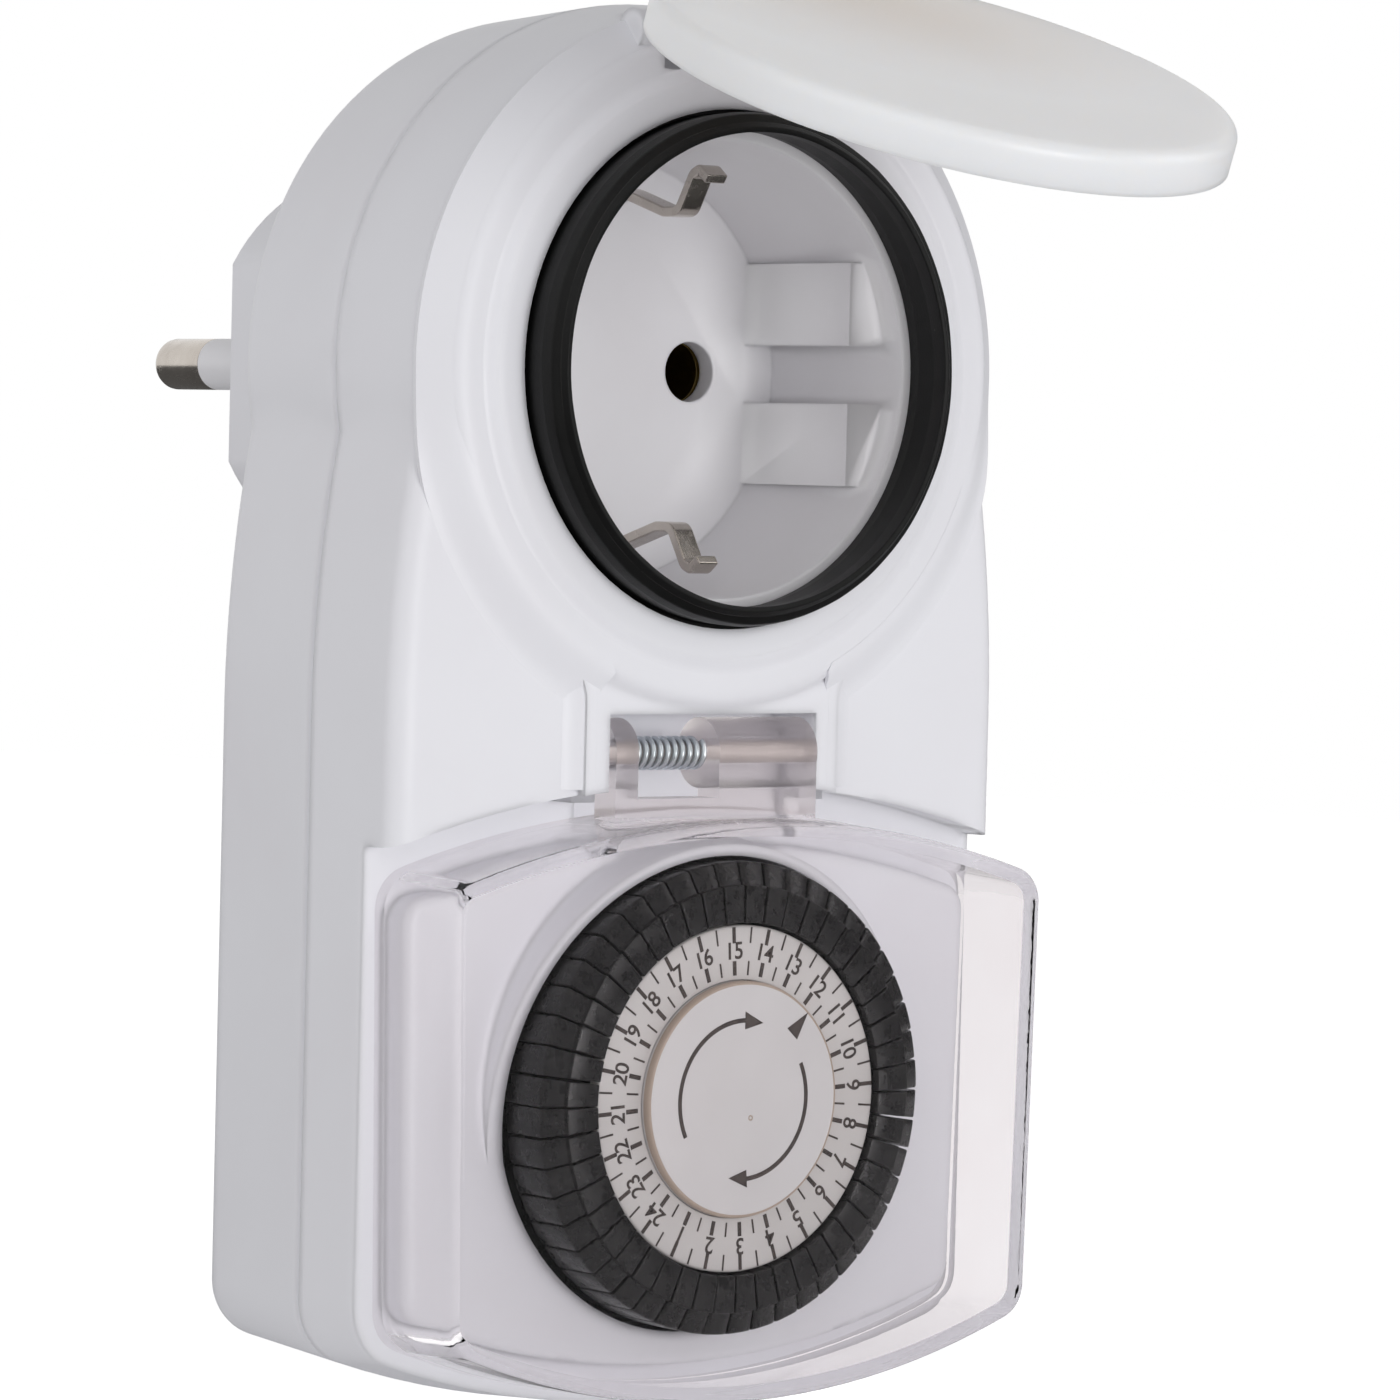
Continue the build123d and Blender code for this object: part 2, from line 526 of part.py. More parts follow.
# the follower: a nose beside the tappets' feet, a hub on its pin and a finger beside the blade
pivot_x, pivot_z = LEVER_PIVOT
nose_x, nose_z = polar(STEM_R[1] + 1.15, 39.9, 0, DIAL_Z)
arm_mid = (pivot_x + nose_x) / 2, at(sum(LEVER) / 2), (pivot_z + nose_z) / 2
arm_turn = -math.degrees(math.atan2(pivot_z - nose_z, pivot_x - nose_x))
lever = Pos(*arm_mid) * Rot(0, arm_turn, 0) * Box(pivot_x - nose_x, LEVER[1] - LEVER[0], 2.0)
lever += disc(0.9, *LEVER, nose_x, nose_z)
lever += disc(2.4, LEVER[0] - 1.0, PLATE[0] - CLEAR, *LEVER_PIVOT)
finger = (blade_x - 1.9, blade_x - BLADE / 2 - 0.4)
lever += block(*finger, 7.8, 9.6, pivot_z, -38.2) + block(*finger, 7.8, 12.0, -39.6, -38.2)
parts["follower_lever"] = lever - disc(1.2 + FIT, 4, PLATE[0], *LEVER_PIVOT)

# ---------------------------------------------------------------- dial
centre = (0.0, DIAL_Z)
mesh = MODULE * (WHEEL_TEETH + PINION_TEETH) / 2
gear_2_at = polar(MODULE * (DIAL_TEETH + PINION_TEETH) / 2, MESH_DIAL, *centre)
gear_1_at = polar(mesh, MESH_2, *gear_2_at)
rotor_at = polar(mesh, MESH_1, *gear_1_at)
half_tooth = 180.0 / PINION_TEETH

bore = POST_R + FIT
gear_depths = (9.0, 10.6)
hub_back = gear_depths[1] + 0.2
carrier = turned([
    (bore, DRUM_FRONT), (DRUM_R, DRUM_FRONT), (DRUM_R, FLANGE[0]), (TAPPET_R - 0.2, FLANGE[0]),
    (TAPPET_R - 0.2, FLANGE[1]), (DRUM_R - 0.7, FLANGE[1]), (DRUM_R - 0.7, gear_depths[0]),
    (13.0, gear_depths[0]), (13.0, DRUM_FRONT + DRUM_WALL), (4.2, DRUM_FRONT + DRUM_WALL), (4.2, hub_back),
    (bore, hub_back)], z=DIAL_Z)
carrier += gear(DIAL_TEETH, *gear_depths, 0.6, centre, MESH_DIAL, 13.0)
pitch = 360.0 / TAPPETS
first_tappet = 90.0 + pitch / 2
slot = Box(STEM_R[1] - STEM_R[0] + 0.4, 3, STEM_WIDTH + 0.3)
for i in range(TAPPETS):
    turn = Pos(0, at(4.6), DIAL_Z) * Rot(0, -first_tappet - i * pitch, 0)
    carrier -= turn * Pos(sum(STEM_R) / 2, 0, 0) * slot
parts["dial_carrier"] = carrier
parts["number_ring"] = ring(DRUM_R, DISC_R + CLEAR, -4.0, DRUM_FRONT, 0, DIAL_Z)

# one tappet: a stepped head, and a foot through its slot in the flange
foot_back = FLANGE[1] + CLEAR
head_r = DRUM_R + 0.25
head = turned([(head_r, DIAL_FRONT), (TAPPET_STEP_R, DIAL_FRONT), (TAPPET_STEP_R, -4.1), (TAPPET_R, -3.4),
               (TAPPET_R, HEAD_BACK), (head_r, HEAD_BACK)],
              arc=pitch - TAPPET_GAP, start=-(pitch - TAPPET_GAP) / 2)
foot = Pos(sum(STEM_R) / 2, at((HEAD_BACK + foot_back) / 2), 0) * Box(
    STEM_R[1] - STEM_R[0], foot_back - HEAD_BACK, STEM_WIDTH)
tappet = head + foot
for group in range(TAPPETS // TAPPETS_IN_GROUP):
    keys = None
    for k in range(TAPPETS_IN_GROUP):
        turn = first_tappet + (group * TAPPETS_IN_GROUP + k) * pitch
        key = Pos(0, 0, DIAL_Z) * Rot(0, -turn, 0) * tappet
        keys = key if keys is None else keys + key
    parts["tappets_%02d" % (group + 1)] = keys

post_front = -3.9
disc_back = DRUM_FRONT - CLEAR
parts["centre_disc"] = turned([
    (0, -4.9), (DISC_R - 0.4, -4.9), (DISC_R, -4.5), (DISC_R, disc_back), (POST_R, disc_back),
    (POST_R, post_front), (0, post_front)], z=DIAL_Z)
post = disc(POST_R, post_front, PLATE[0], *centre)
parts["dial_post"] = post + disc(3.3, hub_back + 0.2, PLATE[0], *centre)

# ---------------------------------------------------------------- movement
axle_bore = AXLE_R + FIT
gear_2 = gear(PINION_TEETH, *GEAR_2[:2], 0.85, gear_2_at, MESH_DIAL + 180 + half_tooth, axle_bore)
gear_2 += gear(WHEEL_TEETH, *GEAR_2[1:], 0.6, gear_2_at, MESH_2, axle_bore)
parts["gear_2"] = gear_2 + ring(2.0, axle_bore, GEAR_2[2], PLATE[0] - CLEAR, *gear_2_at)
gear_1 = gear(PINION_TEETH, *GEAR_1[:2], 0.85, gear_1_at, MESH_2 + 180 + half_tooth, axle_bore)
gear_1 += gear(WHEEL_TEETH, *GEAR_1[1:], 0.6, gear_1_at, MESH_1, axle_bore)
parts["gear_1"] = gear_1 + ring(2.0, axle_bore, GEAR_1[2], PLATE[0] - CLEAR, *gear_1_at)
axle_2 = disc(AXLE_R, GEAR_2[0] - 0.8, PLATE[1], *gear_2_at)
parts["gear_axles"] = axle_2 + disc(AXLE_R, GEAR_1[0] - 0.2, PLATE[1], *gear_1_at)

rotor_x, rotor_z = rotor_at
ears = [(rotor_x + side * (CAN_R + 0.7), rotor_z + 6.6) for side in (1, -1)]
plate_face = Pos(0, -57.2) * Rectangle(2 * PLATE_HALF, 33.4) + Pos(rotor_x, -78) * Rectangle(30, 14)
plate = slab(plate_face, *PLATE)
plate = fillet(plate.edges().filter_by(Axis.Y), 1.5)
for r, spots in ((PLATE_SCREW_R + FIT, PLATE_SCREW_XZ), (AXLE_R, (gear_1_at, gear_2_at)), (0.75, ears),
                 (4.2, (rotor_at,))):
    for x, z in spots:
        plate -= disc(r, PLATE[0] - 1, PLATE[1] + 1, x, z)
parts["movement_plate"] = plate

# motor: can with two ears, coil inside it and the rotor in bearings in both ends of the can
inside_can = (PLATE[1] + 1.0, CAN_BACK - CAN_WALL)
can = disc(CAN_R, PLATE[1], CAN_BACK, *rotor_at)
for x, z in ears:
    can += disc(2.4, PLATE[1], inside_can[0], x, z) - disc(1.0, PLATE[1] - 1, inside_can[0] + 1, x, z)
can -= disc(CAN_R - CAN_WALL, *inside_can, *rotor_at)
can -= disc(AXLE_R + FIT, PLATE[1] - 1, CAN_BACK + 1, *rotor_at)
lead_at = {"live": 60.0, "neutral": 118.0}      # where the leads leave the can, degrees
for turn in lead_at.values():
    x, z = polar(CAN_R, turn, *rotor_at)
    can -= Pos(x, at(21.8), z) * Rot(0, -turn, 0) * Rot(0, 90, 0) * Cylinder(LEAD_R + 0.1, 4)
parts["motor_can"] = can
coil_r = CAN_R - CAN_WALL
parts["stator_coil"] = ring(coil_r, ROTOR_R + 0.6, *inside_can, *rotor_at)
rotor = disc(ROTOR_R, 19.0, 25.0, *rotor_at) + disc(AXLE_R, ROTOR_PINION[0] - 0.2, CAN_BACK, *rotor_at)
rotor += gear(PINION_TEETH, *ROTOR_PINION, 0.85, rotor_at, MESH_1 + 180 + half_tooth, 0.5)
parts["rotor"] = rotor

# ---------------------------------------------------------------- dial cover
cover = drafted(cover_outline, -COVER_DRAFT, 0, COVER_BACK, COVER_FRONT)
cover = fillet(front_edges(cover), 1.0)
cover -= drafted(cover_outline, COVER_WALL - COVER_DRAFT, COVER_WALL, COVER_BACK, COVER_FRONT) & block(
    -40, 40, COVER_FRONT + COVER_WALL, COVER_BACK, -100, 0)
knuckle_end = SLOT_HALF - CLEAR
spring_gap = (-8.6, 0.2)
for x0, x1 in ((-knuckle_end, spring_gap[0]), (spring_gap[1], knuckle_end)):
    cover += rod_x(KNUCKLE_R, x0, x1, COVER_HINGE)
    cover += block(x0, x1, -0.4, COVER_HINGE[0], -39.6, COVER_HINGE[1])
cover += block(-knuckle_end, knuckle_end, -0.4, COVER_HINGE[0], -39.6, -37.2)
parts["dial_cover"] = cover - rod_x(COVER_PIN_R + FIT, -12, 12, COVER_HINGE)
parts["cover_hinge_pin"] = rod_x(COVER_PIN_R, -13.0, 13.0, COVER_HINGE)
parts["cover_spring"] = coil(COVER_HINGE, *spring_gap, COVER_PIN_R, 0.5, 10)

# ---------------------------------------------------------------- socket lid
lid = fillet(front_edges(disc(LID_R, LID_FRONT, LID_FRONT + LID_RIM)), 1.1)
lid -= disc(LID_R - 1.5, LID_FRONT + LID_PLATE, 0)
tab = LID_SLOT_HALF - CLEAR
arm_x = -tab + 4.2
lid += block(-tab, tab, LID_FRONT + 0.4, LID_FRONT + LID_RIM - 1.3, 22.5, LID_HINGE[1] - 1)
lid += rod_x(2.3, arm_x, tab, LID_HINGE)
lid += block(arm_x, tab, LID_FRONT + 0.4, LID_HINGE[0], LID_HINGE[1] - 2.3, LID_HINGE[1] + 0.6)
lid -= rod_x(LID_PIN_R + FIT, -9, 9, LID_HINGE)
parts["socket_lid"] = swing(lid, LID_HINGE, LID_OPEN)
parts["lid_hinge_pin"] = rod_x(LID_PIN_R, -10.0, 10.0, LID_HINGE)
parts["lid_spring"] = coil(LID_HINGE, -LID_SLOT_HALF, arm_x - 0.1, LID_PIN_R, 0.6, 5)

# ---------------------------------------------------------------- leads and screws
routes = {
    "live": ([(8.5, 20.5, -46), (8.5, 22.0 - LEAD_R, -30.5)], (0, 0, 1)),
    "neutral": ([(-12.5, 20.5, -45), (-10.5, 24.0, -25), (-9.6, 26.6, -10), (NEUTRAL_X, 26.6, -CONTACT_R)],
                (0, 0, 1)),
}
for name, (points, arriving) in routes.items():
    turn = lead_at[name]
    x, z = polar(coil_r + 0.02, turn, *rotor_at)
    leaving = (math.cos(math.radians(turn)), 0, math.sin(math.radians(turn)))
    parts["motor_lead_" + name] = lead([(x, 21.8, z)] + points, leaving, arriving)

screws, plate_screws, motor_screws = [], [], []
for x, z in SCREW_XZ:
    tip = 5.0 if z > 0 else 7.8
    screws.append(slotted_screw(x, z, SCREW_HEAD_R, (BACK - 3.5, BACK - 1.6), SCREW_R, tip, 0.7, cross=True))
for x, z in PLATE_SCREW_XZ:
    plate_screws.append(slotted_screw(x, z, 2.0, (PLATE[1], PLATE[1] + 1.3), PLATE_SCREW_R, 8.8, 0.5))
for x, z in ears:
    seat = inside_can[0]
    motor_screws.append(slotted_screw(x, z, 1.7, (seat, seat + 1.2), 0.75, PLATE[0] + 0.2, 0.5))
parts["shell_screws"] = sum(screws[1:], screws[0])
parts["plate_screws"] = sum(plate_screws[1:], plate_screws[0])
parts["motor_screws"] = sum(motor_screws[1:], motor_screws[0])

# ---------------------------------------------------------------- files
os.makedirs("parts", exist_ok=True)
for name, solid in parts.items():
    export_step(solid, "parts/%s.step" % name)
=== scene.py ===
"""Finish of the plug-in timer switch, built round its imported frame.

Metres. -Y is the front with the socket and the dial, +X is right seen from the front, +Z is up.
Outlines, profiles and their named radii are in millimetres, with depths behind the socket rim.
"""
import math

import bmesh
import bpy
from mathutils import Matrix, Vector


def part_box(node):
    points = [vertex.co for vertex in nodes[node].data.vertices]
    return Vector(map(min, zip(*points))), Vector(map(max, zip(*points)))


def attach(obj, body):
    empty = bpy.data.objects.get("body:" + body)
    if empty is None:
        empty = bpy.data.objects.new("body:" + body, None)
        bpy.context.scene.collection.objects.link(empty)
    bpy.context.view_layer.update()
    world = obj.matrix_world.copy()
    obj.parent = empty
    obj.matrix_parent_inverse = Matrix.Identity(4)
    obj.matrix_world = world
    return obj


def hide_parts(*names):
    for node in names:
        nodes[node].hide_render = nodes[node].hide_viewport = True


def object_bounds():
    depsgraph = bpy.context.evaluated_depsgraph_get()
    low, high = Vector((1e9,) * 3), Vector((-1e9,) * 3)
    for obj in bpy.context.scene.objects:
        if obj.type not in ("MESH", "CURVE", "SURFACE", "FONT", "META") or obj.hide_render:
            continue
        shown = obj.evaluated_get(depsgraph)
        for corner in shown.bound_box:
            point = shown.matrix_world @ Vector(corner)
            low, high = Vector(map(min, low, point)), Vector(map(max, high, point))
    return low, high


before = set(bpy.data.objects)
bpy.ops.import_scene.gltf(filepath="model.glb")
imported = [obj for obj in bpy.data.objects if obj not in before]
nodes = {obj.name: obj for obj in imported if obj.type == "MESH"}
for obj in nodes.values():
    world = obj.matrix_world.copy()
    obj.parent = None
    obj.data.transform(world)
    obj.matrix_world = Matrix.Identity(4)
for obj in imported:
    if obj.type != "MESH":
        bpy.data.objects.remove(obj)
cad_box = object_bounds()
scene = bpy.context.scene

MM = 0.001
TINY = 1e-6

# ---- places read from the frame
RIM_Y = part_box("socket_well")[0].y


def at(depth):
    """Y of a depth in millimetres behind the socket rim."""
    return RIM_Y + depth * MM


SEAM_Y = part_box("rear_shell")[0].y
SEAM_GROOVE = (0.25 * MM, 0.45 * MM)            # half width and depth of the line between the shells
SPINE_LOW_Z = -0.06                             # the shells' sides face away from a line from here to Z = 0
ring_low, ring_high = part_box("number_ring")
DIAL = Vector((0.0, ring_low.y, (ring_low.z + ring_high.z) / 2))
FLOOR_Z = cad_box[0].z - 0.5 * MM
lid_low, lid_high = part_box("socket_lid")
# middle of the warm, darker shade painted on the lid
LID_PAINTED_SHADE_AT = Vector((4 * MM, lid_low.y + 0.62 * (lid_high.y - lid_low.y), lid_high.z))
KNUCKLE_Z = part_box("cover_hinge_pin")[0].z - 5.0 * MM    # above this the cover is knuckles
KNUCKLE_FADE = 0.6 * MM

# dial print
HOURS = 24
HOUR_STEP = math.radians(360 / HOURS)
HOUR_15 = math.radians(93.1)                    # where 15 stands, turning up with the hours
HOUR_0 = HOUR_15 - 15 * HOUR_STEP
PRINT_THICK = 0.02 * MM
DIGIT_HEIGHT = 1.5 * MM
DIGIT_FOOT_R = 12.15 * MM
DIGIT_WIDE = 0.98
STROKE_MORE = 0.028 * MM                        # how far the strokes of the numbers are thickened
TAPPETS = 48
TAPPETS_IN_GROUP = 4
TAPPET_GAP = math.radians(0.62)
TAPPET_CHAMFER = 0.09
ANGLE_PER_LEAN = 0.35                           # a piece's stray along the ring for its lean
ARROW_R = 6.9
ARROW_HALF_LINE = 0.2
ARROW_HALF_HEAD = 0.78
ARROW_STEPS = 40
POINTER_AT = 46.8                               # degrees from +X

# collar
COLLAR_R = 29.6
COLLAR_STEP = 1.5                               # degrees
COLLAR_STEPS = 104                              # each way from the top, as far as the hinge slot
ARCH_ENDS, ARCH_FADE = 92, 20                   # degrees from the top, where the arch runs into the face
FIELD_STARTS = 154.5                            # degrees from the top
FIELD_X = 13.8                                  # half width of the field round the hinge slot
FIELD_CORNER_R = 5.0
FIELD_CORNER_STEPS = 12
FACE_DEPTH = -0.905                             # of the collar's face
SLOPE_SUNK = 0.4                                # how far a slope reaches into the casing
SEAL_MIDDLE_R = 21.3                            # between the lip's inner and outer wall

# plug pins
PIN_TAIL = 3.5                                  # length of the thin end inside the boss
PIN_TAIL_R, PIN_FLANGE_R, PIN_NECK_R, PIN_R, SLEEVE_R = 1.5, 3.6, 1.95, 2.4, 3.0
SCREW_SLOT_DEEP = 1.2 * MM

# floor and camera
FLOOR_MIDDLE = Vector((0.0, 0.5, FLOOR_Z))
FLOOR_REACH = 0.75
FLOOR_STEPS = 96
CAMERA_TURNS = (-37.47, 2.25, 1.40)             # degrees round, up and rolled
CAMERA_PLACE = (-0.33885, -0.49284, -0.00785)
FOCAL_LENGTH = 163.92
LENS_SHIFT = 0.00714


# ---- small helpers
def paint(red, green, blue):
    """A colour given as 0 to 255 display values, made linear."""
    linear = [((c / 255 + 0.055) / 1.055) ** 2.4 if c > 10 else c / 255 / 12.92 for c in (red, green, blue)]
    return (*linear, 1.0)


def feed(tree, socket, value):
    """Links an input to a socket, or sets it to a value."""
    if isinstance(value, bpy.types.NodeSocket):
        tree.links.new(value, socket)
    else:
        socket.default_value = value


def add(tree, kind, feeds=None, **settings):
    """A node with its settings and its inputs."""
    made = tree.nodes.new(kind)
    for name, value in settings.items():
        setattr(made, name, value)
    for name, value in (feeds or {}).items():
        feed(tree, made.inputs[name], value)
    return made


def new_group(name, kind, inputs, outputs):
    """An empty node group with its sockets, and its two end nodes."""
    group = bpy.data.node_groups.new(name, kind)
    for label, socket, value in inputs:
        made = group.interface.new_socket(label, in_out="INPUT", socket_type="NodeSocket" + socket)
        if value is not None:
            made.default_value = value
    for label, socket in outputs:
        group.interface.new_socket(label, in_out="OUTPUT", socket_type="NodeSocket" + socket)
    ends = group.nodes.new("NodeGroupInput"), group.nodes.new("NodeGroupOutput")
    return group, ends[0].outputs, ends[1].inputs


def math_node(tree, operation, a, b=0.0, clamp=False):
    return add(tree, "ShaderNodeMath", {0: a, 1: b}, operation=operation, use_clamp=clamp).outputs[0]


def times(tree, a, b, clamp=False):
    return math_node(tree, "MULTIPLY", a, b, clamp)


def plus(tree, a, b, clamp=False):
    return math_node(tree, "ADD", a, b, clamp)


def measure(tree, operation, a, b):
    """A number made from two vectors."""
    return add(tree, "ShaderNodeVectorMath", {0: a, 1: b}, operation=operation).outputs["Value"]


def between(tree, value, low, high, out_low=0.0, out_high=1.0):
    """Value mapped from low..high to out_low..out_high, and held there."""
    feeds = {"Value": value, "From Min": low, "From Max": high, "To Min": out_low, "To Max": out_high}
    return add(tree, "ShaderNodeMapRange", feeds).outputs[0]


def blend_colours(tree, share, first, second):
    return add(tree, "ShaderNodeMix", {0: share, 6: first, 7: second}, data_type="RGBA").outputs[2]


# ---- effects that finishes share
PATCHES_PER_CLOUD = 4.7
EDGE_FACING = (0.995, 0.82)                     # how far both normals agree, off an edge and on it
HAIRLINE_WIDTH = 0.012


def place_in(tree):
    return add(tree, "ShaderNodeTexCoord").outputs["Object"]


def noise(tree, place, scale, detail, **more):
    feeds = {"Vector": place, "Scale": scale, "Detail": detail, **more}
    return add(tree, "ShaderNodeTexNoise", feeds).outputs["Fac"]


def moulded_group():
    """Slow cloudiness and fine grain of a moulded or cast surface."""
    group, inputs, outputs = new_group(
        "moulded surface", "ShaderNodeTree",
        [("Cloud size", "Float", 0.02), ("Grain size", "Float", 0.0003)],
        [("Cloud", "Float"), ("Grain", "Float"), ("Roughness shift", "Float")])
    place = place_in(group)
    cloud_scale = math_node(group, "DIVIDE", 1.0, inputs["Cloud size"])
    grain_scale = math_node(group, "DIVIDE", 1.0, inputs["Grain size"])
    patch_scale = times(group, cloud_scale, PATCHES_PER_CLOUD)
    cloud = noise(group, place, cloud_scale, 3.0, Roughness=0.55, Distortion=0.4)
    grain = noise(group, place, grain_scale, 2.0, Roughness=0.6)
    patch = noise(group, place, patch_scale, 4.0, Roughness=0.62)
    group.links.new(between(group, cloud, 0.3, 0.7), outputs["Cloud"])
    group.links.new(grain, outputs["Grain"])
    group.links.new(between(group, patch, 0.25, 0.75, -0.5, 0.5), outputs["Roughness shift"])
    return group


def edge_group():
    """Where an edge is, and a normal that turns it softly."""
    group, inputs, outputs = new_group(
        "edges", "ShaderNodeTree",
        [("Width", "Float", 0.0003)],
        [("Edge", "Float"), ("Soft normal", "Vector")])
    soft = add(group, "ShaderNodeBevel", {"Radius": inputs["Width"]}, samples=6).outputs[0]
    plain = add(group, "ShaderNodeNewGeometry").outputs["Normal"]
    same = measure(group, "DOT_PRODUCT", soft, plain)
    group.links.new(between(group, same, *EDGE_FACING), outputs["Edge"])
    group.links.new(soft, outputs["Soft normal"])
    return group


def hairline_group():
    """Fine scratches that wander over the surface in a few directions."""
    group, inputs, outputs = new_group(
        "hairlines", "ShaderNodeTree",
        [("Size", "Float", 0.004), ("Amount", "Float", 0.5)],
        [("Lines", "Float")])
    place = place_in(group)
    scale = math_node(group, "DIVIDE", 1.0, inputs["Size"])
    lines = None
    for turn, stretch in ((0.4, 14.0), (1.9, 20.0), (2.7, 11.0)):
        feeds = {"Vector": place, "Rotation": (turn, 0.7 * turn, 1.3 * turn), "Scale": (stretch, 1.0, 1.0)}
        laid = add(group, "ShaderNodeMapping", feeds).outputs[0]
        waves = noise(group, laid, scale, 1.0, Distortion=0.15)
        from_middle = math_node(group, "ABSOLUTE", math_node(group, "SUBTRACT", waves, 0.5))
        line = between(group, from_middle, 0.0, HAIRLINE_WIDTH, 1.0, 0.0)
        lines = line if lines is None else math_node(group, "MAXIMUM", lines, line)
    gaps = noise(group, place, times(group, scale, 1.7), 2.0)
    kept = between(group, gaps, 0.5, 0.62)
    group.links.new(times(group, times(group, lines, kept), inputs["Amount"], clamp=True), outputs["Lines"])
    return group


def speck_group():
    """Sparse specks and dust, each in its own cell."""
    group, inputs, outputs = new_group(
        "specks", "ShaderNodeTree",
        [("Spacing", "Float", 0.004), ("Size", "Float", 0.03), ("Share", "Float", 0.2)],
        [("Specks", "Float")])
    scale = math_node(group, "DIVIDE", 1.0, inputs["Spacing"])
    cells = add(group, "ShaderNodeTexVoronoi", {"Vector": place_in(group), "Scale": scale}).outputs
    luck = add(group, "ShaderNodeSeparateColor", {"Color": cells["Color"]}).outputs[0]
    chosen = math_node(group, "LESS_THAN", luck, inputs["Share"])
    reach = times(group, inputs["Size"], plus(group, luck, 0.6))
    near = math_node(group, "LESS_THAN", cells["Distance"], reach)
    group.links.new(times(group, chosen, near), outputs["Specks"])
    return group


MOULDED, EDGES, HAIRLINES, SPECKS = moulded_group(), edge_group(), hairline_group(), speck_group()


def use(tree, group, feeds=None):
    return add(tree, "ShaderNodeGroup", feeds, node_tree=group).outputs


# ---- finishes
DARK_SPECK = (90, 84, 80)
DUST = (190, 188, 184)
SCRATCH_COLOUR = (200, 200, 200)
PLAIN_SHADE = 0.93
COVER_IOR = 1.18


def new_material(name):
    """A material, its node tree and its main shader."""
    made = bpy.data.materials.new(name)
    made.use_nodes = True
    return made, made.node_tree, made.node_tree.nodes["Principled BSDF"]


def relief(tree, height, distance, strength, **more):
    """Raises and sinks a finish by a height."""
    feeds = {"Height": height, "Distance": distance, "Strength": strength, **more}
    bump = add(tree, "ShaderNodeBump", feeds).outputs[0]
    tree.links.new(bump, tree.nodes["Principled BSDF"].inputs["Normal"])


def finish(name, colour, roughness, shade=None, cloud=0.02, grain=0.0003, bump=0.02, uneven=0.06,
           edge=0.25, edge_sheen_and_wear=None, edge_share=0.3, scratch=0.0, scratch_size=0.004, specks=(),
           **shader):
    """A hard surface: cloudy tint, grain, soft edges, scratches and specks.

    Colours are 0 to 255 display values, the edge is in millimetres and other sizes are in metres.
    An edge colour is a painted highlight on mouldings and rubber, and wear on metals.
    """
    made, tree, body = new_material(name)
    skin = use(tree, MOULDED, {"Cloud size": cloud, "Grain size": grain})
    edges = use(tree, EDGES, {"Width": edge * MM})
    base = paint(*colour)
    cloudy = paint(*shade) if shade else [c * PLAIN_SHADE for c in base[:3]] + [1]
    wear_and_sheen = paint(*(edge_sheen_and_wear or SCRATCH_COLOUR))
    tint = blend_colours(tree, skin["Cloud"], base, cloudy)
    # edges turn towards the edge colour: a painted highlight on mouldings and rubber, wear on metals
    if edge_sheen_and_wear:
        tint = blend_colours(tree, times(tree, edges["Edge"], edge_share), tint, wear_and_sheen)
    rough = plus(tree, times(tree, skin["Roughness shift"], uneven), roughness, clamp=True)
    height = times(tree, skin["Grain"], bump)
    if scratch:
        lines = use(tree, HAIRLINES, {"Size": scratch_size, "Amount": scratch})["Lines"]
        rough = plus(tree, rough, times(tree, lines, 0.25), clamp=True)
        height = math_node(tree, "SUBTRACT", height, times(tree, lines, 0.05))
        tint = blend_colours(tree, times(tree, lines, 0.25), tint, wear_and_sheen)
    for spacing, size, share, speck_colour in specks:
        spots = use(tree, SPECKS, {"Spacing": spacing, "Size": size, "Share": share})["Specks"]
        tint = blend_colours(tree, times(tree, spots, 0.8), tint, paint(*speck_colour))
    tree.links.new(tint, body.inputs["Base Color"])
    tree.links.new(rough, body.inputs["Roughness"])
    relief(tree, height, 0.1 * MM, 0.6, Normal=edges["Soft normal"])
    for socket, value in shader.items():
        body.inputs[socket.replace("_", " ").title().replace("Ior", "IOR")].default_value = value
    return made


def clear_finish():
    """Clear moulded plastic that lamps reach through, rougher and rosier at its knuckles."""
    made, tree, body = new_material("clear cover moulding")
    skin = use(tree, MOULDED, {"Cloud size": 0.012, "Grain size": 0.0011})
    lines = use(tree, HAIRLINES, {"Size": 0.006, "Amount": 0.7})["Lines"]
    spots = use(tree, SPECKS, {"Spacing": 0.0045, "Size": 0.022, "Share": 0.12})["Specks"]
    tint = blend_colours(tree, skin["Cloud"], paint(244, 242, 243), paint(242, 239, 240))
    tint = blend_colours(tree, times(tree, spots, 0.6), tint, paint(*DARK_SPECK))
    height = add(tree, "ShaderNodeSeparateXYZ", {0: place_in(tree)}).outputs[2]
    knuckle = between(tree, height, KNUCKLE_Z - KNUCKLE_FADE, KNUCKLE_Z + KNUCKLE_FADE)
    tint = blend_colours(tree, knuckle, tint, paint(246, 240, 238))
    tree.links.new(tint, body.inputs["Base Color"])
    rough = plus(tree, times(tree, lines, 0.2), 0.015)
    rough = plus(tree, rough, times(tree, knuckle, 0.26))
    tree.links.new(rough, body.inputs["Roughness"])
    relief(tree, skin["Grain"], 0.02 * MM, 0.15)
    body.inputs["Transmission Weight"].default_value = 1.0
    body.inputs["IOR"].default_value = COVER_IOR
    through = add(tree, "ShaderNodeBsdfTransparent", {"Color": (0.985, 0.98, 0.985, 1)}).outputs[0]
    light_path = add(tree, "ShaderNodeLightPath").outputs
    mixed = body.outputs[0]
    for kind in ("Is Diffuse Ray", "Is Shadow Ray"):
        mixed = add(tree, "ShaderNodeMixShader", {0: light_path[kind], 1: mixed, 2: through}).outputs[0]
    tree.links.new(mixed, tree.nodes["Material Output"].inputs["Surface"])
    return made


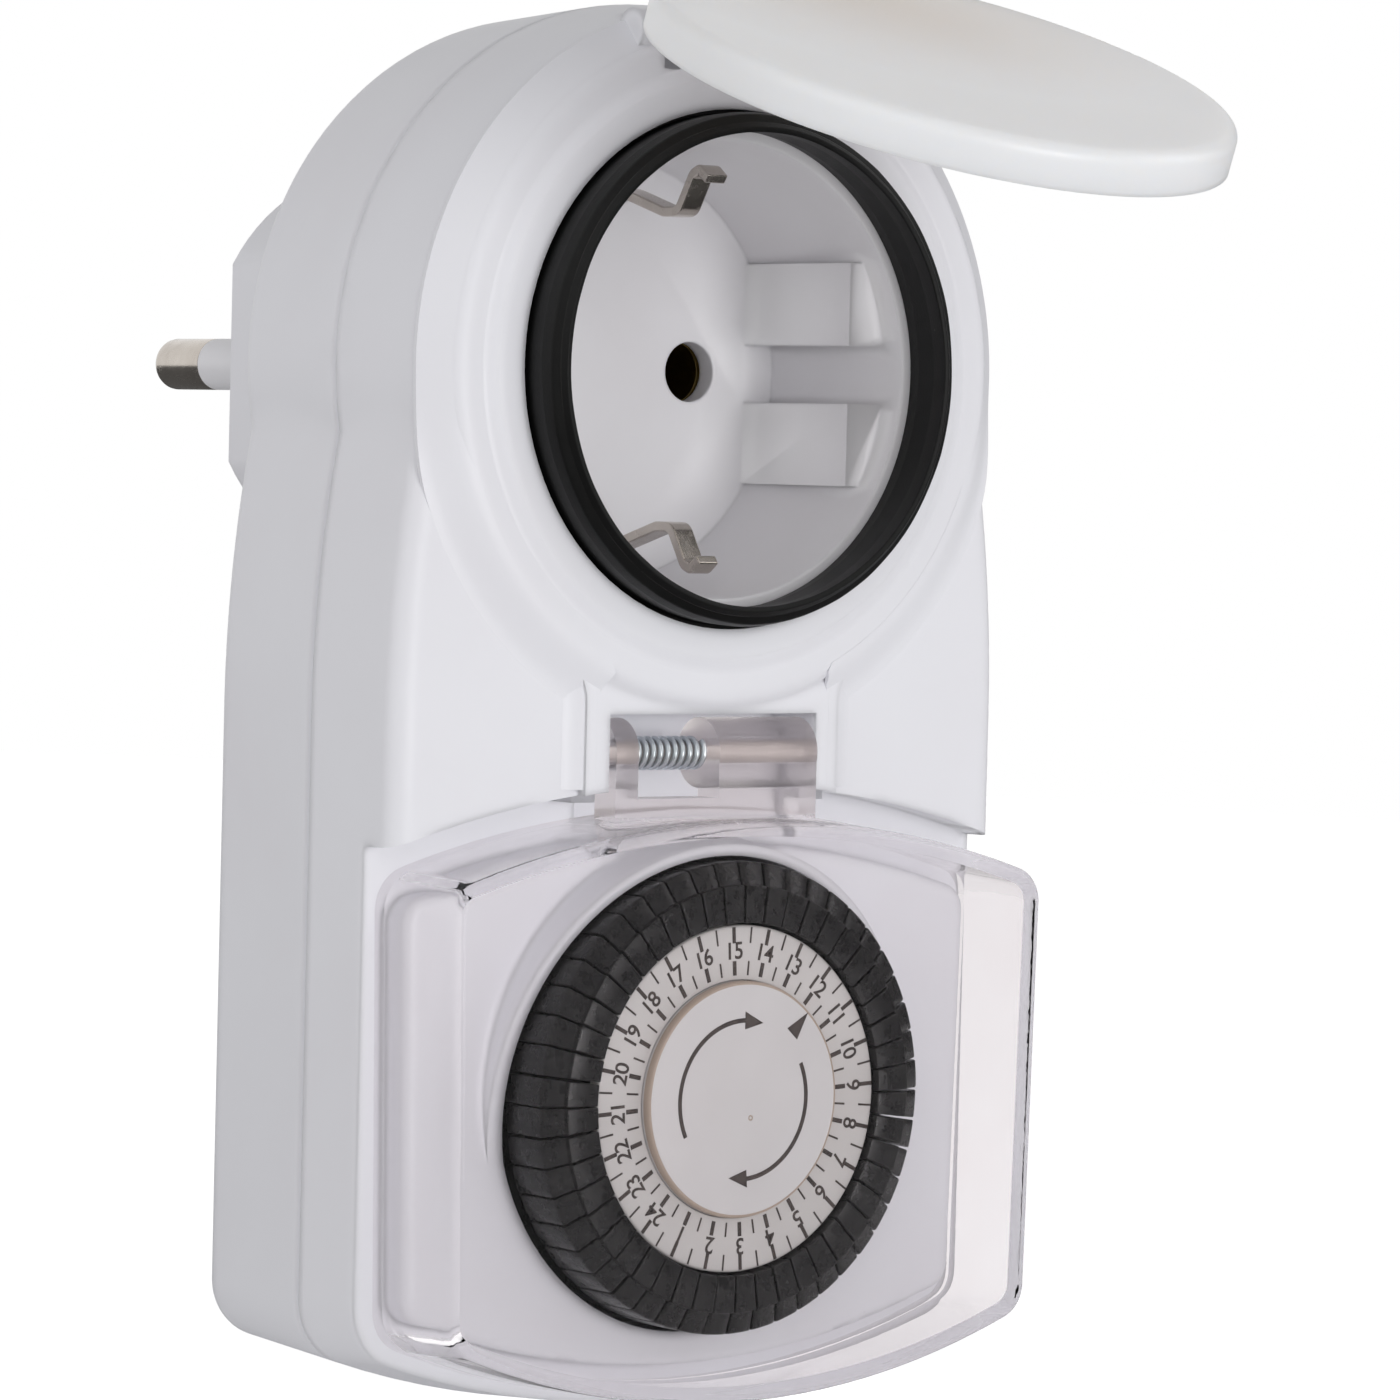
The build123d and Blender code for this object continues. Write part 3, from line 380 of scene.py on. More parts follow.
def winding_finish():
    """Lacquered copper wire wound round the coil former."""
    made = finish("wound copper", (168, 96, 52), 0.32, shade=(122, 62, 32), metallic=0.85, bump=0.0)
    tree = made.node_tree
    feeds = {"Vector": place_in(tree), "Scale": 1 / (2 * MM), "Distortion": 0.4}
    wire = add(tree, "ShaderNodeTexWave", feeds, wave_type="BANDS", bands_direction="Y", wave_profile="SIN")
    relief(tree, wire.outputs["Fac"], 0.12 * MM, 0.8)
    return made


def lid_finish():
    """Milky lid with a warm, darker shade painted behind its middle, fading towards the cooler rim, and
    painted highlights on its edges.
    """
    made = finish("milky lid moulding", (245, 244, 245), 0.34, shade=(243, 241, 242), cloud=0.04,
                  edge=0.6, edge_sheen_and_wear=(246, 246, 250), edge_share=0.6, subsurface_weight=0.9,
                  subsurface_radius=(0.9, 0.8, 0.7), subsurface_scale=0.008,
                  specks=[(0.012, 0.01, 0.15, DUST)])
    tree = made.node_tree
    base = tree.nodes["Principled BSDF"].inputs["Base Color"]
    away = measure(tree, "DISTANCE", place_in(tree), LID_PAINTED_SHADE_AT)
    # painted shade, warm and darker, strongest near its middle and gone 26 mm away
    painted_shade = between(tree, away, 3 * MM, 26 * MM, 0.75, 0.0)
    tree.links.new(blend_colours(tree, painted_shade, base.links[0].from_socket, paint(206, 189, 176)), base)
    return made


WHITE = (228, 228, 233)
METAL_EDGE = (225, 220, 214)
# Lighter edge colours are painted highlights on the mouldings, the lid and the rubber, and wear on the
# metals.
looks = {
    "housing": finish("housing moulding", WHITE, 0.42, shade=(225, 224, 229), cloud=0.03, bump=0.05,
                      edge=1.4, edge_sheen_and_wear=(236, 236, 240), edge_share=0.5, scratch=0.25,
                      specks=[(0.011, 0.012, 0.22, DARK_SPECK), (0.004, 0.012, 0.05, DUST)]),
    "slope": finish("housing slopes", WHITE, 0.42, shade=(225, 224, 229), cloud=0.03, bump=0.05, edge=0.01),
    "socket": finish("socket moulding", (229, 228, 231), 0.34, shade=(225, 223, 226),
                     edge=0.5, edge_sheen_and_wear=(238, 238, 241), edge_share=0.4,
                     specks=[(0.007, 0.014, 0.25, DARK_SPECK)]),
    "seal": finish("seal rubber", (16, 16, 16), 0.46, shade=(12, 12, 12), cloud=0.008, bump=0.3,
                   grain=0.00018, edge=0.15, edge_sheen_and_wear=(66, 64, 62), edge_share=0.5,
                   specks=[(0.0025, 0.03, 0.12, (96, 94, 90))], specular_ior_level=0.22),
    "nickel": finish("nickel plating", (205, 198, 190), 0.2, shade=(186, 178, 170), cloud=0.004, bump=0.05,
                     metallic=1.0, edge=0.12, edge_sheen_and_wear=METAL_EDGE, scratch=0.7, scratch_size=0.002),
    "sleeve": finish("pin sleeve moulding", (230, 229, 233), 0.4, bump=0.05, edge=0.1,
                     specks=[(0.004, 0.02, 0.2, DUST)]),
    "brass": finish("contact brass", (190, 168, 104), 0.3, shade=(156, 134, 80), metallic=1.0, cloud=0.005,
                    edge=0.1, edge_sheen_and_wear=(236, 208, 146), scratch=0.5, scratch_size=0.002),
    "zinc": finish("bright zinc plating", (226, 232, 236), 0.36, shade=(206, 213, 217), metallic=1.0,
                   cloud=0.003, edge=0.08, edge_sheen_and_wear=(232, 236, 240)),
    "steel": finish("plain hinge steel", (150, 146, 142), 0.34, shade=(118, 112, 108), metallic=1.0,
                    cloud=0.003, edge=0.08, scratch=0.4, scratch_size=0.002),
    "lid": lid_finish(),
    "tappet": finish("black tappet moulding", (27, 26, 27), 0.3, shade=(20, 19, 20), cloud=0.004,
                     grain=0.0004, bump=0.12, uneven=0.25, edge=0.1, edge_sheen_and_wear=(92, 90, 88),
                     edge_share=0.3, scratch=0.9, scratch_size=0.003,
                     specks=[(0.0016, 0.035, 0.16, (120, 118, 114)), (0.0036, 0.03, 0.1, DUST)],
                     specular_ior_level=0.35),
    "number ring": finish("number ring print", (202, 199, 197), 0.46, shade=(195, 192, 190), cloud=0.008,
                          bump=0.1, specks=[(0.003, 0.012, 0.1, DARK_SPECK)]),
    "ink": finish("dial ink", (52, 44, 42), 0.5, shade=(74, 64, 60), cloud=0.0011, grain=0.0001, bump=0.2),
    "disc": finish("centre disc moulding", (212, 210, 210), 0.3, shade=(207, 205, 205), cloud=0.01,
                   bump=0.04, edge=0.2, edge_sheen_and_wear=(238, 236, 233),
                   specks=[(0.005, 0.013, 0.14, DARK_SPECK)]),
    "satin pin": finish("satin hinge pin", (196, 190, 189), 0.5, metallic=0.3, cloud=0.003, edge=0.08),
    "disc edge": finish("disc edge", (176, 160, 146), 0.4, bump=0.02),
    "gear": finish("gear moulding", (226, 224, 212), 0.44, edge=0.1),
    "inner": finish("inner moulding", (150, 150, 153), 0.5, edge=0.2, specks=[(0.006, 0.02, 0.2, DUST)]),
    "can": finish("motor can sheet", (186, 188, 190), 0.3, shade=(160, 162, 165), metallic=1.0,
                  edge=0.2, scratch=0.6, edge_sheen_and_wear=(220, 222, 224)),
    "ferrite": finish("bonded ferrite", (48, 46, 46), 0.55, grain=0.0005, bump=0.4),
    "brown lead": finish("brown lead insulation", (104, 66, 42), 0.42, edge=0.05),
    "blue lead": finish("blue lead insulation", (48, 96, 176), 0.42, edge=0.05),
    "clear": clear_finish(),
    "winding": winding_finish(),
}


# ---- meshes
def linked(name, data):
    """An object in the scene."""
    piece = bpy.data.objects.new(name, data)
    scene.collection.objects.link(piece)
    return piece


def evaluated(holder):
    """The mesh that an object makes with its modifiers, or from its text."""
    bpy.context.view_layer.update()
    return bpy.data.meshes.new_from_object(holder.evaluated_get(bpy.context.evaluated_depsgraph_get()))


def shown(name, mesh, body, look=None, replaces=()):
    """Puts a finished mesh in the scene as a piece of the object."""
    piece = linked(name, mesh)
    if look:
        mesh.materials.clear()
        mesh.materials.append(looks[look])
    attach(piece, body)
    if replaces:
        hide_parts(*replaces)
    return piece


def smooth(mesh, degrees=32.0):
    mesh.shade_smooth()
    mesh.set_sharp_from_angle(angle=math.radians(degrees))
    return mesh


def weighted(piece):
    """Keeps large flat faces flat next to small rounded ones."""
    made = piece.modifiers.new("flat faces stay flat", "WEIGHTED_NORMAL")
    made.keep_sharp = True
    made.weight = 100
    return piece


def merged_copy(node):
    """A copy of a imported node's mesh with its loose triangles joined."""
    work = bmesh.new()
    work.from_mesh(nodes[node].data)
    bmesh.ops.remove_doubles(work, verts=work.verts, dist=TINY)
    bmesh.ops.dissolve_limit(work, angle_limit=math.radians(0.2), verts=work.verts, edges=work.edges)
    return work


def to_mesh(work, name):
    mesh = bpy.data.meshes.new(name)
    work.to_mesh(mesh)
    work.free()
    return mesh


def dressed(name, node, body, look, change=None, degrees=32.0):
    """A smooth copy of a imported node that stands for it."""
    work = merged_copy(node)
    if change:
        change(work)
    return weighted(shown(name, smooth(to_mesh(work, name), degrees), body, look, [node]))


def rounded(corners, steps=5):
    """Points of a closed outline of (radius, depth, corner radius), its corners turned to arcs."""
    points = []
    for i, (r, d, corner) in enumerate(corners):
        here = Vector((r, d))
        before = (Vector(corners[i - 1][:2]) - here).normalized()
        after = (Vector(corners[(i + 1) % len(corners)][:2]) - here).normalized()
        if not corner:
            points.append(here)
            continue
        half = before.angle(after) / 2
        middle = here + (before + after).normalized() * corner / math.sin(half)
        start = here + before * corner / math.tan(half) - middle
        end = here + after * corner / math.tan(half) - middle
        turn = start.angle_signed(end)
        points += [middle + Matrix.Rotation(-turn * k / steps, 2) @ start for k in range(steps + 1)]
    return points


def skinned(work, rings, closed=False):
    """Faces from ring to ring, with end caps unless the last ring meets the first."""
    count = len(rings[0])
    for one, two in zip(rings, rings[1:] + (rings[:1] if closed else [])):
        for k in range(count):
            work.faces.new((one[k], one[(k + 1) % count], two[(k + 1) % count], two[k]))
    if not closed:
        work.faces.new(rings[0])
        work.faces.new(rings[-1][::-1])


def turned(outline, steps, x=0.0, z=0.0, wobble=None):
    """A bmesh turned from a closed outline about a front-to-back axis through x, z."""
    work = bmesh.new()
    rings = []
    for i in range(steps):
        a = 2 * math.pi * i / steps
        ring = []
        for p in outline:
            r, d = wobble(a, p[0], p[1]) if wobble else (p[0], p[1])
            ring.append(work.verts.new((x + r * MM * math.cos(a), at(d), z + r * MM * math.sin(a))))
        rings.append(ring)
    skinned(work, rings, closed=True)
    bmesh.ops.remove_doubles(work, verts=work.verts, dist=TINY)
    bmesh.ops.recalc_face_normals(work, faces=work.faces)
    return work


def joined(name, meshes):
    """Several meshes as one."""
    work = bmesh.new()
    materials = []
    for mesh in meshes:
        first = len(work.faces)
        work.from_mesh(mesh)
        work.faces.ensure_lookup_table()
        for material in mesh.materials or []:
            if material not in materials:
                materials.append(material)
        place = materials.index(mesh.materials[0]) if mesh.materials else 0
        for face in work.faces[first:]:
            face.material_index = place
    made = to_mesh(work, name)
    for material in materials:
        made.materials.append(material)
    return made


def plate(points, y_front, thickness):
    """A thin flat print or plate from a closed outline of (x, z) points."""
    work = bmesh.new()
    front = [work.verts.new((x, y_front, z)) for x, z in points]
    back = [work.verts.new((x, y_front + thickness, z)) for x, z in points]
    work.faces.new(front)
    work.faces.new(back[::-1])
    for i in range(len(points)):
        k = (i + 1) % len(points)
        work.faces.new((front[i], back[i], back[k], front[k]))
    bmesh.ops.recalc_face_normals(work, faces=work.faces)
    return work


# ---- geometry trees
def tree_ids(group):
    return {item.name: item.identifier for item in group.interface.items_tree
            if item.item_type == "SOCKET" and item.in_out == "INPUT"}


def turned_mesh(name, outline, steps, degrees, x=0.0, z=0.0, wobble=None):
    return smooth(to_mesh(turned(outline, steps, x, z, wobble), name), degrees)


def grown(name, mesh, group, **values):
    """The mesh that a geometry tree makes from a template."""
    holder = linked(name + "_template", mesh)
    maker = holder.modifiers.new("tree", "NODES")
    maker.node_group = group
    ids = tree_ids(group)
    for label, value in values.items():
        maker[ids[label.replace("_", " ")]] = value
    holder.update_tag()
    made = evaluated(holder)
    holder.modifiers.clear()
    bpy.data.objects.remove(holder)
    made.name = name
    made.materials.clear()
    made.materials.append(values["Material"])
    for face in made.polygons:
        face.material_index = 0
    return made


def random_number(tree, seed, low, high):
    """A random number for each item."""
    made = add(tree, "FunctionNodeRandomValue", data_type="FLOAT")
    for label, value in (("Min", low), ("Max", high), ("Seed", seed)):
        feed(tree, next(s for s in made.inputs if s.name == label and s.enabled), value)
    return next(s for s in made.outputs if s.enabled)


def end_tree(group, geometry, inputs, outputs):
    """Makes copies real, gives them their material and ends the tree."""
    real = add(group, "GeometryNodeRealizeInstances", {"Geometry": geometry}).outputs[0]
    feeds = {"Geometry": real, "Material": inputs["Material"]}
    group.links.new(add(group, "GeometryNodeSetMaterial", feeds).outputs[0], outputs["Geometry"])
    return group


def dial_tree():
    """Copies of a template set round a front-to-back axis, each a little uneven."""
    group, inputs, outputs = new_group(
        "round the dial axis", "GeometryNodeTree",
        [("Template", "Geometry", None), ("Count", "Int", 24), ("First", "Float", 0.0),
         ("Step", "Float", 0.1), ("Centre", "Vector", None), ("Lean", "Float", 0.0),
         ("Slip", "Float", 0.0), ("Seed", "Int", 0), ("Material", "Material", None)],
        [("Geometry", "Geometry")])
    feeds = {"Count": inputs["Count"], "Position": inputs["Centre"]}
    spots = add(group, "GeometryNodePoints", feeds).outputs[0]
    index = add(group, "GeometryNodeInputIndex").outputs[0]

    def chance(shift, reach):
        seed = plus(group, inputs["Seed"], float(shift))
        return random_number(group, seed, times(group, reach, -1.0), reach)

    angle = plus(group, times(group, index, inputs["Step"]), inputs["First"])
    angle = plus(group, angle, chance(1, times(group, inputs["Lean"], ANGLE_PER_LEAN)))
    feeds = {"X": chance(2, inputs["Lean"]), "Y": times(group, angle, -1.0)}
    turn = add(group, "ShaderNodeCombineXYZ", feeds).outputs[0]
    feeds = {"Points": spots, "Instance": inputs["Template"], "Rotation": turn}
    placed = add(group, "GeometryNodeInstanceOnPoints", feeds).outputs[0]
    slip = add(group, "ShaderNodeCombineXYZ", {"Y": chance(3, inputs["Slip"])}).outputs[0]
    feeds = {"Instances": placed, "Translation": slip}
    slipped = add(group, "GeometryNodeTranslateInstances", feeds).outputs[0]
    return end_tree(group, slipped, inputs, outputs)


def spring_tree():
    """A close-wound spring along X."""
    group, inputs, outputs = new_group(
        "wound spring", "GeometryNodeTree",
        [("Turns", "Float", 8.0), ("Radius", "Float", 0.001), ("Length", "Float", 0.008),
         ("Wire", "Float", 0.0002), ("Start", "Vector", None), ("Twist", "Float", 0.0),
         ("Material", "Material", None)],
        [("Geometry", "Geometry")])
    feeds = {"Resolution": 28, "Rotations": inputs["Turns"], "Start Radius": inputs["Radius"],
             "End Radius": inputs["Radius"], "Height": inputs["Length"]}
    path = add(group, "GeometryNodeCurveSpiral", feeds).outputs[0]
    feeds = {"Resolution": 12, "Radius": inputs["Wire"]}
    wire = add(group, "GeometryNodeCurvePrimitiveCircle", feeds).outputs[0]
    feeds = {"Curve": path, "Profile Curve": wire, "Fill Caps": True}
    coil = add(group, "GeometryNodeCurveToMesh", feeds).outputs[0]
    spun = add(group, "ShaderNodeCombineXYZ", {"Z": inputs["Twist"]}).outputs[0]
    coil = add(group, "GeometryNodeTransform", {"Geometry": coil, "Rotation": spun}).outputs[0]
    feeds = {"Geometry": coil, "Rotation": (0.0, math.pi / 2, 0.0), "Translation": inputs["Start"]}
    laid = add(group, "GeometryNodeTransform", feeds).outputs[0]
    return end_tree(group, laid, inputs, outputs)


def screw_tree():
    """A screw at each of a row's places, each turned its own way."""
    group, inputs, outputs = new_group(
        "screws", "GeometryNodeTree",
        [("Places", "Geometry", None), ("Screw", "Object", None), ("Seed", "Int", 0),
         ("Material", "Material", None)],
        [("Geometry", "Geometry")])
    screw = add(group, "GeometryNodeObjectInfo", {"Object": inputs["Screw"]}, transform_space="ORIGINAL")
    angle = random_number(group, inputs["Seed"], 0.0, math.tau)
    turn = add(group, "ShaderNodeCombineXYZ", {"Y": angle}).outputs[0]
    feeds = {"Points": inputs["Places"], "Rotation": turn, "Instance": screw.outputs["Geometry"]}
    placed = add(group, "GeometryNodeInstanceOnPoints", feeds).outputs[0]
    return end_tree(group, placed, inputs, outputs)


ROUND_DIAL, SPRING, SCREWS = dial_tree(), spring_tree(), screw_tree()


# ---- housing
def groove_along_seam(work):
    """Turns in the outer edge of a shell where the two shells meet."""
    half, deep = SEAM_GROOVE
    for y in (SEAM_Y - half, SEAM_Y + half):
        bmesh.ops.bisect_plane(work, geom=work.verts[:] + work.edges[:] + work.faces[:], dist=TINY / 10,
                               plane_co=(0, y, 0), plane_no=(0, 1, 0))
    moves = []
    for v in work.verts:
        if abs(v.co.y - SEAM_Y) > TINY:
            continue
        spine = Vector((0, v.co.y, min(0.0, max(SPINE_LOW_Z, v.co.z))))
        sides = [f.normal for f in v.link_faces if abs(f.normal.y) < 0.5]
        outward = [normal for normal in sides if normal.dot(v.co - spine) > 0]
        if outward:
            way = sum(outward, Vector())
            way.y = 0
            moves.append((v, way.normalized() * deep))
    for v, move in moves:
        v.co -= move


def make_housing():
    dressed("housing_front", "front_shell", "housing", "housing", groove_along_seam)
    dressed("housing_back", "rear_shell", "housing", "housing", groove_along_seam)
    dressed("socket_insert", "socket_well", "housing", "socket")


def swept(path):
    """A bmesh of closed (outward, depth) profiles along (x, z, outward x, outward z, profile)."""
    work = bmesh.new()
    rows = [[work.verts.new(((x + a * ox) * MM, at(d), (z + a * oz) * MM)) for a, d in profile]
            for x, z, ox, oz, profile in path]
    skinned(work, rows)
    bmesh.ops.recalc_face_normals(work, faces=work.faces)
    return work


def slope(inner, outer, straight=0.0, steps=8):
    """A closed profile between two (outward, depth) points, level at its ends unless straight."""
    points = []
    for i in range(steps + 1):
        t = i / steps
        rise = t * t * (3 - 2 * t) * (1 - straight) + t * straight
        points.append(Vector((inner[0] + (outer[0] - inner[0]) * t,
                              inner[1] + (outer[1] - inner[1]) * rise)))
    return points + [Vector((p[0], p[1] + SLOPE_SUNK)) for p in (outer, inner)]


def between_profiles(first, second, share):
    share = max(0.0, min(1.0, share))
    share = share * share * (3 - 2 * share)
    return [a.lerp(b, share) for a, b in zip(first, second)]


def make_collar_slopes():
    """Slopes where the collar, its lip and the field round the hinge slot rise from the face."""
    over_arch = slope((-0.55, -0.465), (1.85, 1.715), straight=1.0)
    on_face = slope((-1.5, FACE_DEPTH), (3.0, 1.195))
    on_field = slope((-0.9, FACE_DEPTH), (1.0, 0.185))
    ring = []
    for i in range(-COLLAR_STEPS, COLLAR_STEPS + 1):
        a = math.radians(90 + i * COLLAR_STEP)
        turn = abs(i * COLLAR_STEP)
        profile = between_profiles(over_arch, on_face, (turn - ARCH_ENDS) / ARCH_FADE)
        profile = between_profiles(profile, on_field, (turn - FIELD_STARTS) / COLLAR_STEP)
        ring.append((COLLAR_R * math.cos(a), COLLAR_R * math.sin(a), math.cos(a), math.sin(a), profile))
    soft = [smooth(to_mesh(swept(ring), "slope"), 40),
            turned_mesh("slope", slope((24.9, -1.505), (26.4, FACE_DEPTH)), 192, 40)]
    centre_x = FIELD_X + FIELD_CORNER_R
    centre_z = -math.sqrt((COLLAR_R + FIELD_CORNER_R) ** 2 - centre_x ** 2)
    profile = slope((-1.1, 0.19), (1.9, 1.195))
    for side in (-1, 1):
        path = [(side * FIELD_X, z, side, 0.0, profile) for z in (-36.4, -33.0, centre_z)]
        last = math.atan2(-centre_z, -centre_x)
        for i in range(1, FIELD_CORNER_STEPS + 1):
            a = math.pi + (last - math.pi) * i / FIELD_CORNER_STEPS
            x, z = centre_x + FIELD_CORNER_R * math.cos(a), centre_z + FIELD_CORNER_R * math.sin(a)
            path.append((side * x, z, -side * math.cos(a), -math.sin(a), profile))
        soft.append(smooth(to_mesh(swept(path), "slope"), 40))
    shown("collar_slopes", joined("collar_slopes", soft), "housing", "slope")


# ---- seal
def make_seal():
    """Soft lip seal: a flange held by the collar, a skirt, and a lip that isn't quite round."""
    outline = rounded([(20.85, 0.0, 0.05), (23.4, 0.0, 0.05), (23.4, -0.5, 0.15), (22.05, -0.5, 0.15),
                       (22.2, -3.5, 0.2), (22.0, -4.6, 0.3), (SEAL_MIDDLE_R, -5.0, 0.2),
                       (20.85, -5.5, 0.12), (20.4, -5.42, 0.12), (20.6, -3.6, 0.3), (20.6, -1.5, 0.3)], 4)

    def wobble(a, r, d):
        lip = max(0.0, min(1.0, (-d - 1.0) / 4.0))
        wave = 0.05 * math.sin(3 * a + 0.7) + 0.035 * math.sin(7 * a + 2.1) + 0.02 * math.sin(17 * a)
        inward = lip * (1 if r > SEAL_MIDDLE_R else -0.6)
        return r - abs(wave) * inward, d + 0.05 * lip * (1 + math.sin(5 * a + 1.3))

    mesh = turned_mesh("seal_ring", outline, 288, 50, wobble=wobble)
    shown("seal_ring", mesh, "housing", "seal", ["socket_seal"])


# ---- metal
EARTH_WIDTH, EARTH_THICK = 4.0, 0.9
CLIP_WIDTH = 2.2                                # of the strip inside the socket
CLIP_ENDS, CLIP_FADE = 15.5, 4.5                # depth where the strip widens, and over how much
BEND_SHARE = 0.45                               # of a straight stretch that a bend may take
EARTH_LINE = [(53.3, 17.75, 0), (23.0, 17.75, 2.0), (20.6, 15.95, 2.0), (14.0, 15.5, 6.0), (8.1, 13.8, 1.2),
              (6.0, 13.8, 1.2), (4.0, 17.0, 1.0), (3.0, 17.4, 0.5), (1.8, 16.5, 0)]


def bent_line(corners):
    """Points along (depth, z, bend), each corner turned to a curve that reaches bend either way."""
    line = []
    for i, (d, z, bend) in enumerate(corners):
        here = Vector((d, z))
        if bend == 0:
            line.append(here)
            continue
        before = Vector(corners[i - 1][:2]) - here
        after = Vector(corners[i + 1][:2]) - here
        reach = min(bend * math.tan((math.pi - before.angle(after)) / 2),
                    BEND_SHARE * before.length, BEND_SHARE * after.length)
        start, end = here + before.normalized() * reach, here + after.normalized() * reach
        line += [start * (1 - t) ** 2 + here * 2 * t * (1 - t) + end * t * t
                 for t in (0, 0.25, 0.5, 0.75, 1)]
    return line


def make_earth_clips():
    """Bent earth strips, each with rounded bends and broken edges."""
    line = bent_line(EARTH_LINE)
    for end, side in (("top", 1), ("bottom", -1)):
        name = "earth_clip_" + end
        sides = ([], [])
        for i, point in enumerate(line):
            way = (line[min(i + 1, len(line) - 1)] - line[max(i - 1, 0)]).normalized()
            across = Vector((-way.y, way.x)) * EARTH_THICK / 2
            sides[0].append(point + across)
            sides[1].append(point - across)
        loop = sides[0] + sides[1][::-1]
        work = bmesh.new()
        rows = []
        for way in (-1, 1):
            rows.append([])
            for p in loop:
                share = min(1.0, max(0.0, (p.x - CLIP_ENDS) / CLIP_FADE))
                width = CLIP_WIDTH + (EARTH_WIDTH - CLIP_WIDTH) * share
                rows[-1].append(work.verts.new((way * width / 2 * MM, at(p.x), side * p.y * MM)))
        count = len(loop)
        for i in range(count):
            k = (i + 1) % count
            work.faces.new((rows[0][i], rows[0][k], rows[1][k], rows[1][i]))
        for i in range(count // 2 - 1):
            for row in rows:
                work.faces.new((row[i], row[i + 1], row[count - 2 - i], row[count - 1 - i]))
        bmesh.ops.recalc_face_normals(work, faces=work.faces)
        mesh = smooth(to_mesh(work, name), 40)
        piece = shown(name, mesh, "housing", "nickel", ["earth_strap_" + end])
        edge = piece.modifiers.new("broken edges", "BEVEL")
        edge.width = 0.16 * MM
        edge.segments = 3
        edge.limit_method = "ANGLE"
        edge.angle_limit = math.radians(50)
        edge.harden_normals = True


def make_pins():
    """Two plug pins with rounded tips, each in its sleeve."""
    for name in ("live", "neutral"):
        low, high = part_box("plug_pin_" + name)
        x = (low.x + high.x) / 2
        tail, end = ((v.y - RIM_Y) / MM for v in (low, high))
        sleeve_low, sleeve_high = ((v.y - RIM_Y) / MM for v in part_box("pin_sleeve_" + name))
        boss_end = -RIM_Y / MM
        flange = tail + PIN_TAIL
        outline = rounded([(0, tail, 0), (PIN_TAIL_R, tail, 0.1), (PIN_TAIL_R, flange, 0),
                           (PIN_FLANGE_R, flange, 0.1), (PIN_FLANGE_R, sleeve_low, 0),
                           (PIN_NECK_R, sleeve_low, 0), (PIN_NECK_R, sleeve_high, 0),
                           (PIN_R, sleeve_high, 0.06), (PIN_R, end, 1.15), (0, end, 0)], 6)
        mesh = turned_mesh("pin_" + name, outline, 64, 40, x)
        shown("pin_" + name, mesh, "housing", "nickel", ["plug_pin_" + name])
        outline = rounded([(PIN_NECK_R, sleeve_low, 0), (SLEEVE_R, sleeve_low, 0),
                           (SLEEVE_R, boss_end, 0.1), (PIN_R, boss_end, 0.1),
                           (PIN_R, sleeve_high, 0.1), (PIN_NECK_R, sleeve_high, 0)], 4)
        mesh = turned_mesh("sleeve_" + name, outline, 64, 40, x)
        shown("sleeve_" + name, mesh, "housing", "sleeve", ["pin_sleeve_" + name])


def make_springs():
    """The cover's and the lid's springs, wound on their hinge pins."""
    for node, look, slot, wire, turns, twist in (("cover_spring", "zinc", "zinc", 0.25 * MM, 10.5, 0.6),
                                                 ("lid_spring", "steel", "hinge_steel", 0.3 * MM, 5.2, 1.4)):
        name = node + "_wire"
        low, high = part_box(node)
        start = Vector((low.x + wire, (low.y + high.y) / 2, (low.z + high.z) / 2))
        mesh = grown(name, bpy.data.meshes.new(name), SPRING, Turns=turns,
                     Radius=(high.z - low.z) / 2 - wire, Length=high.x - low.x - 2 * wire, Wire=wire,
                     Start=start, Twist=twist, Material=looks[look])
        shown(name, smooth(mesh, 60), "housing", None, [node])


# ---- screws
def screw_template(name, head_r, head, shank_r, shank, slot, cross):
    """A screw along Y with its head's seat at Y = 0, the head towards +Y."""
    outline = rounded([(0, -shank, 0), (shank_r * 0.6, -shank, 0), (shank_r, -shank + 1.2, 0.2),
                       (shank_r, 0, 0), (head_r, 0, 0.08), (head_r, head, min(0.5, head * 0.45)),
                       (0, head, 0)], 4)
    work = turned(outline, 40)
    for v in work.verts:
        v.co.y -= at(0)
    screw = linked(name, to_mesh(work, name))
    cutter = bmesh.new()
    size = Matrix.Diagonal((1.3 * head_r * MM, SCREW_SLOT_DEEP, slot * MM, 1))
    for turn in (0, 90) if cross else (0,):
        bmesh.ops.create_cube(cutter, size=1.0, matrix=Matrix.Translation((0, head * MM, 0))
                              @ Matrix.Rotation(math.radians(turn), 4, "Y") @ size)
    cut_piece = linked(name + "_slot", to_mesh(cutter, name + "_slot"))
    cut = screw.modifiers.new("slot", "BOOLEAN")
    cut.object = cut_piece
    cut.operation = "DIFFERENCE"
    cut.use_self = True
    mesh = evaluated(screw)
    screw.modifiers.clear()
    screw.data = mesh
    bpy.data.objects.remove(cut_piece)
    return screw


def solids_of(node):
    """The middles, across X and Z, and the lowest and highest Y of a node's separate solids."""
    work = merged_copy(node)
    left, found = set(work.verts), []
    while left:
        group, edge = set(), [left.pop()]
        while edge:
            v = edge.pop()
            group.add(v)
            for e in v.link_edges:
                other = e.other_vert(v)
                if other in left:
                    left.discard(other)
                    edge.append(other)
        xs, ys, zs = zip(*[v.co for v in group])
        found.append(((min(xs) + max(xs)) / 2, min(ys), max(ys), (min(zs) + max(zs)) / 2))
    work.free()
    return sorted(found)


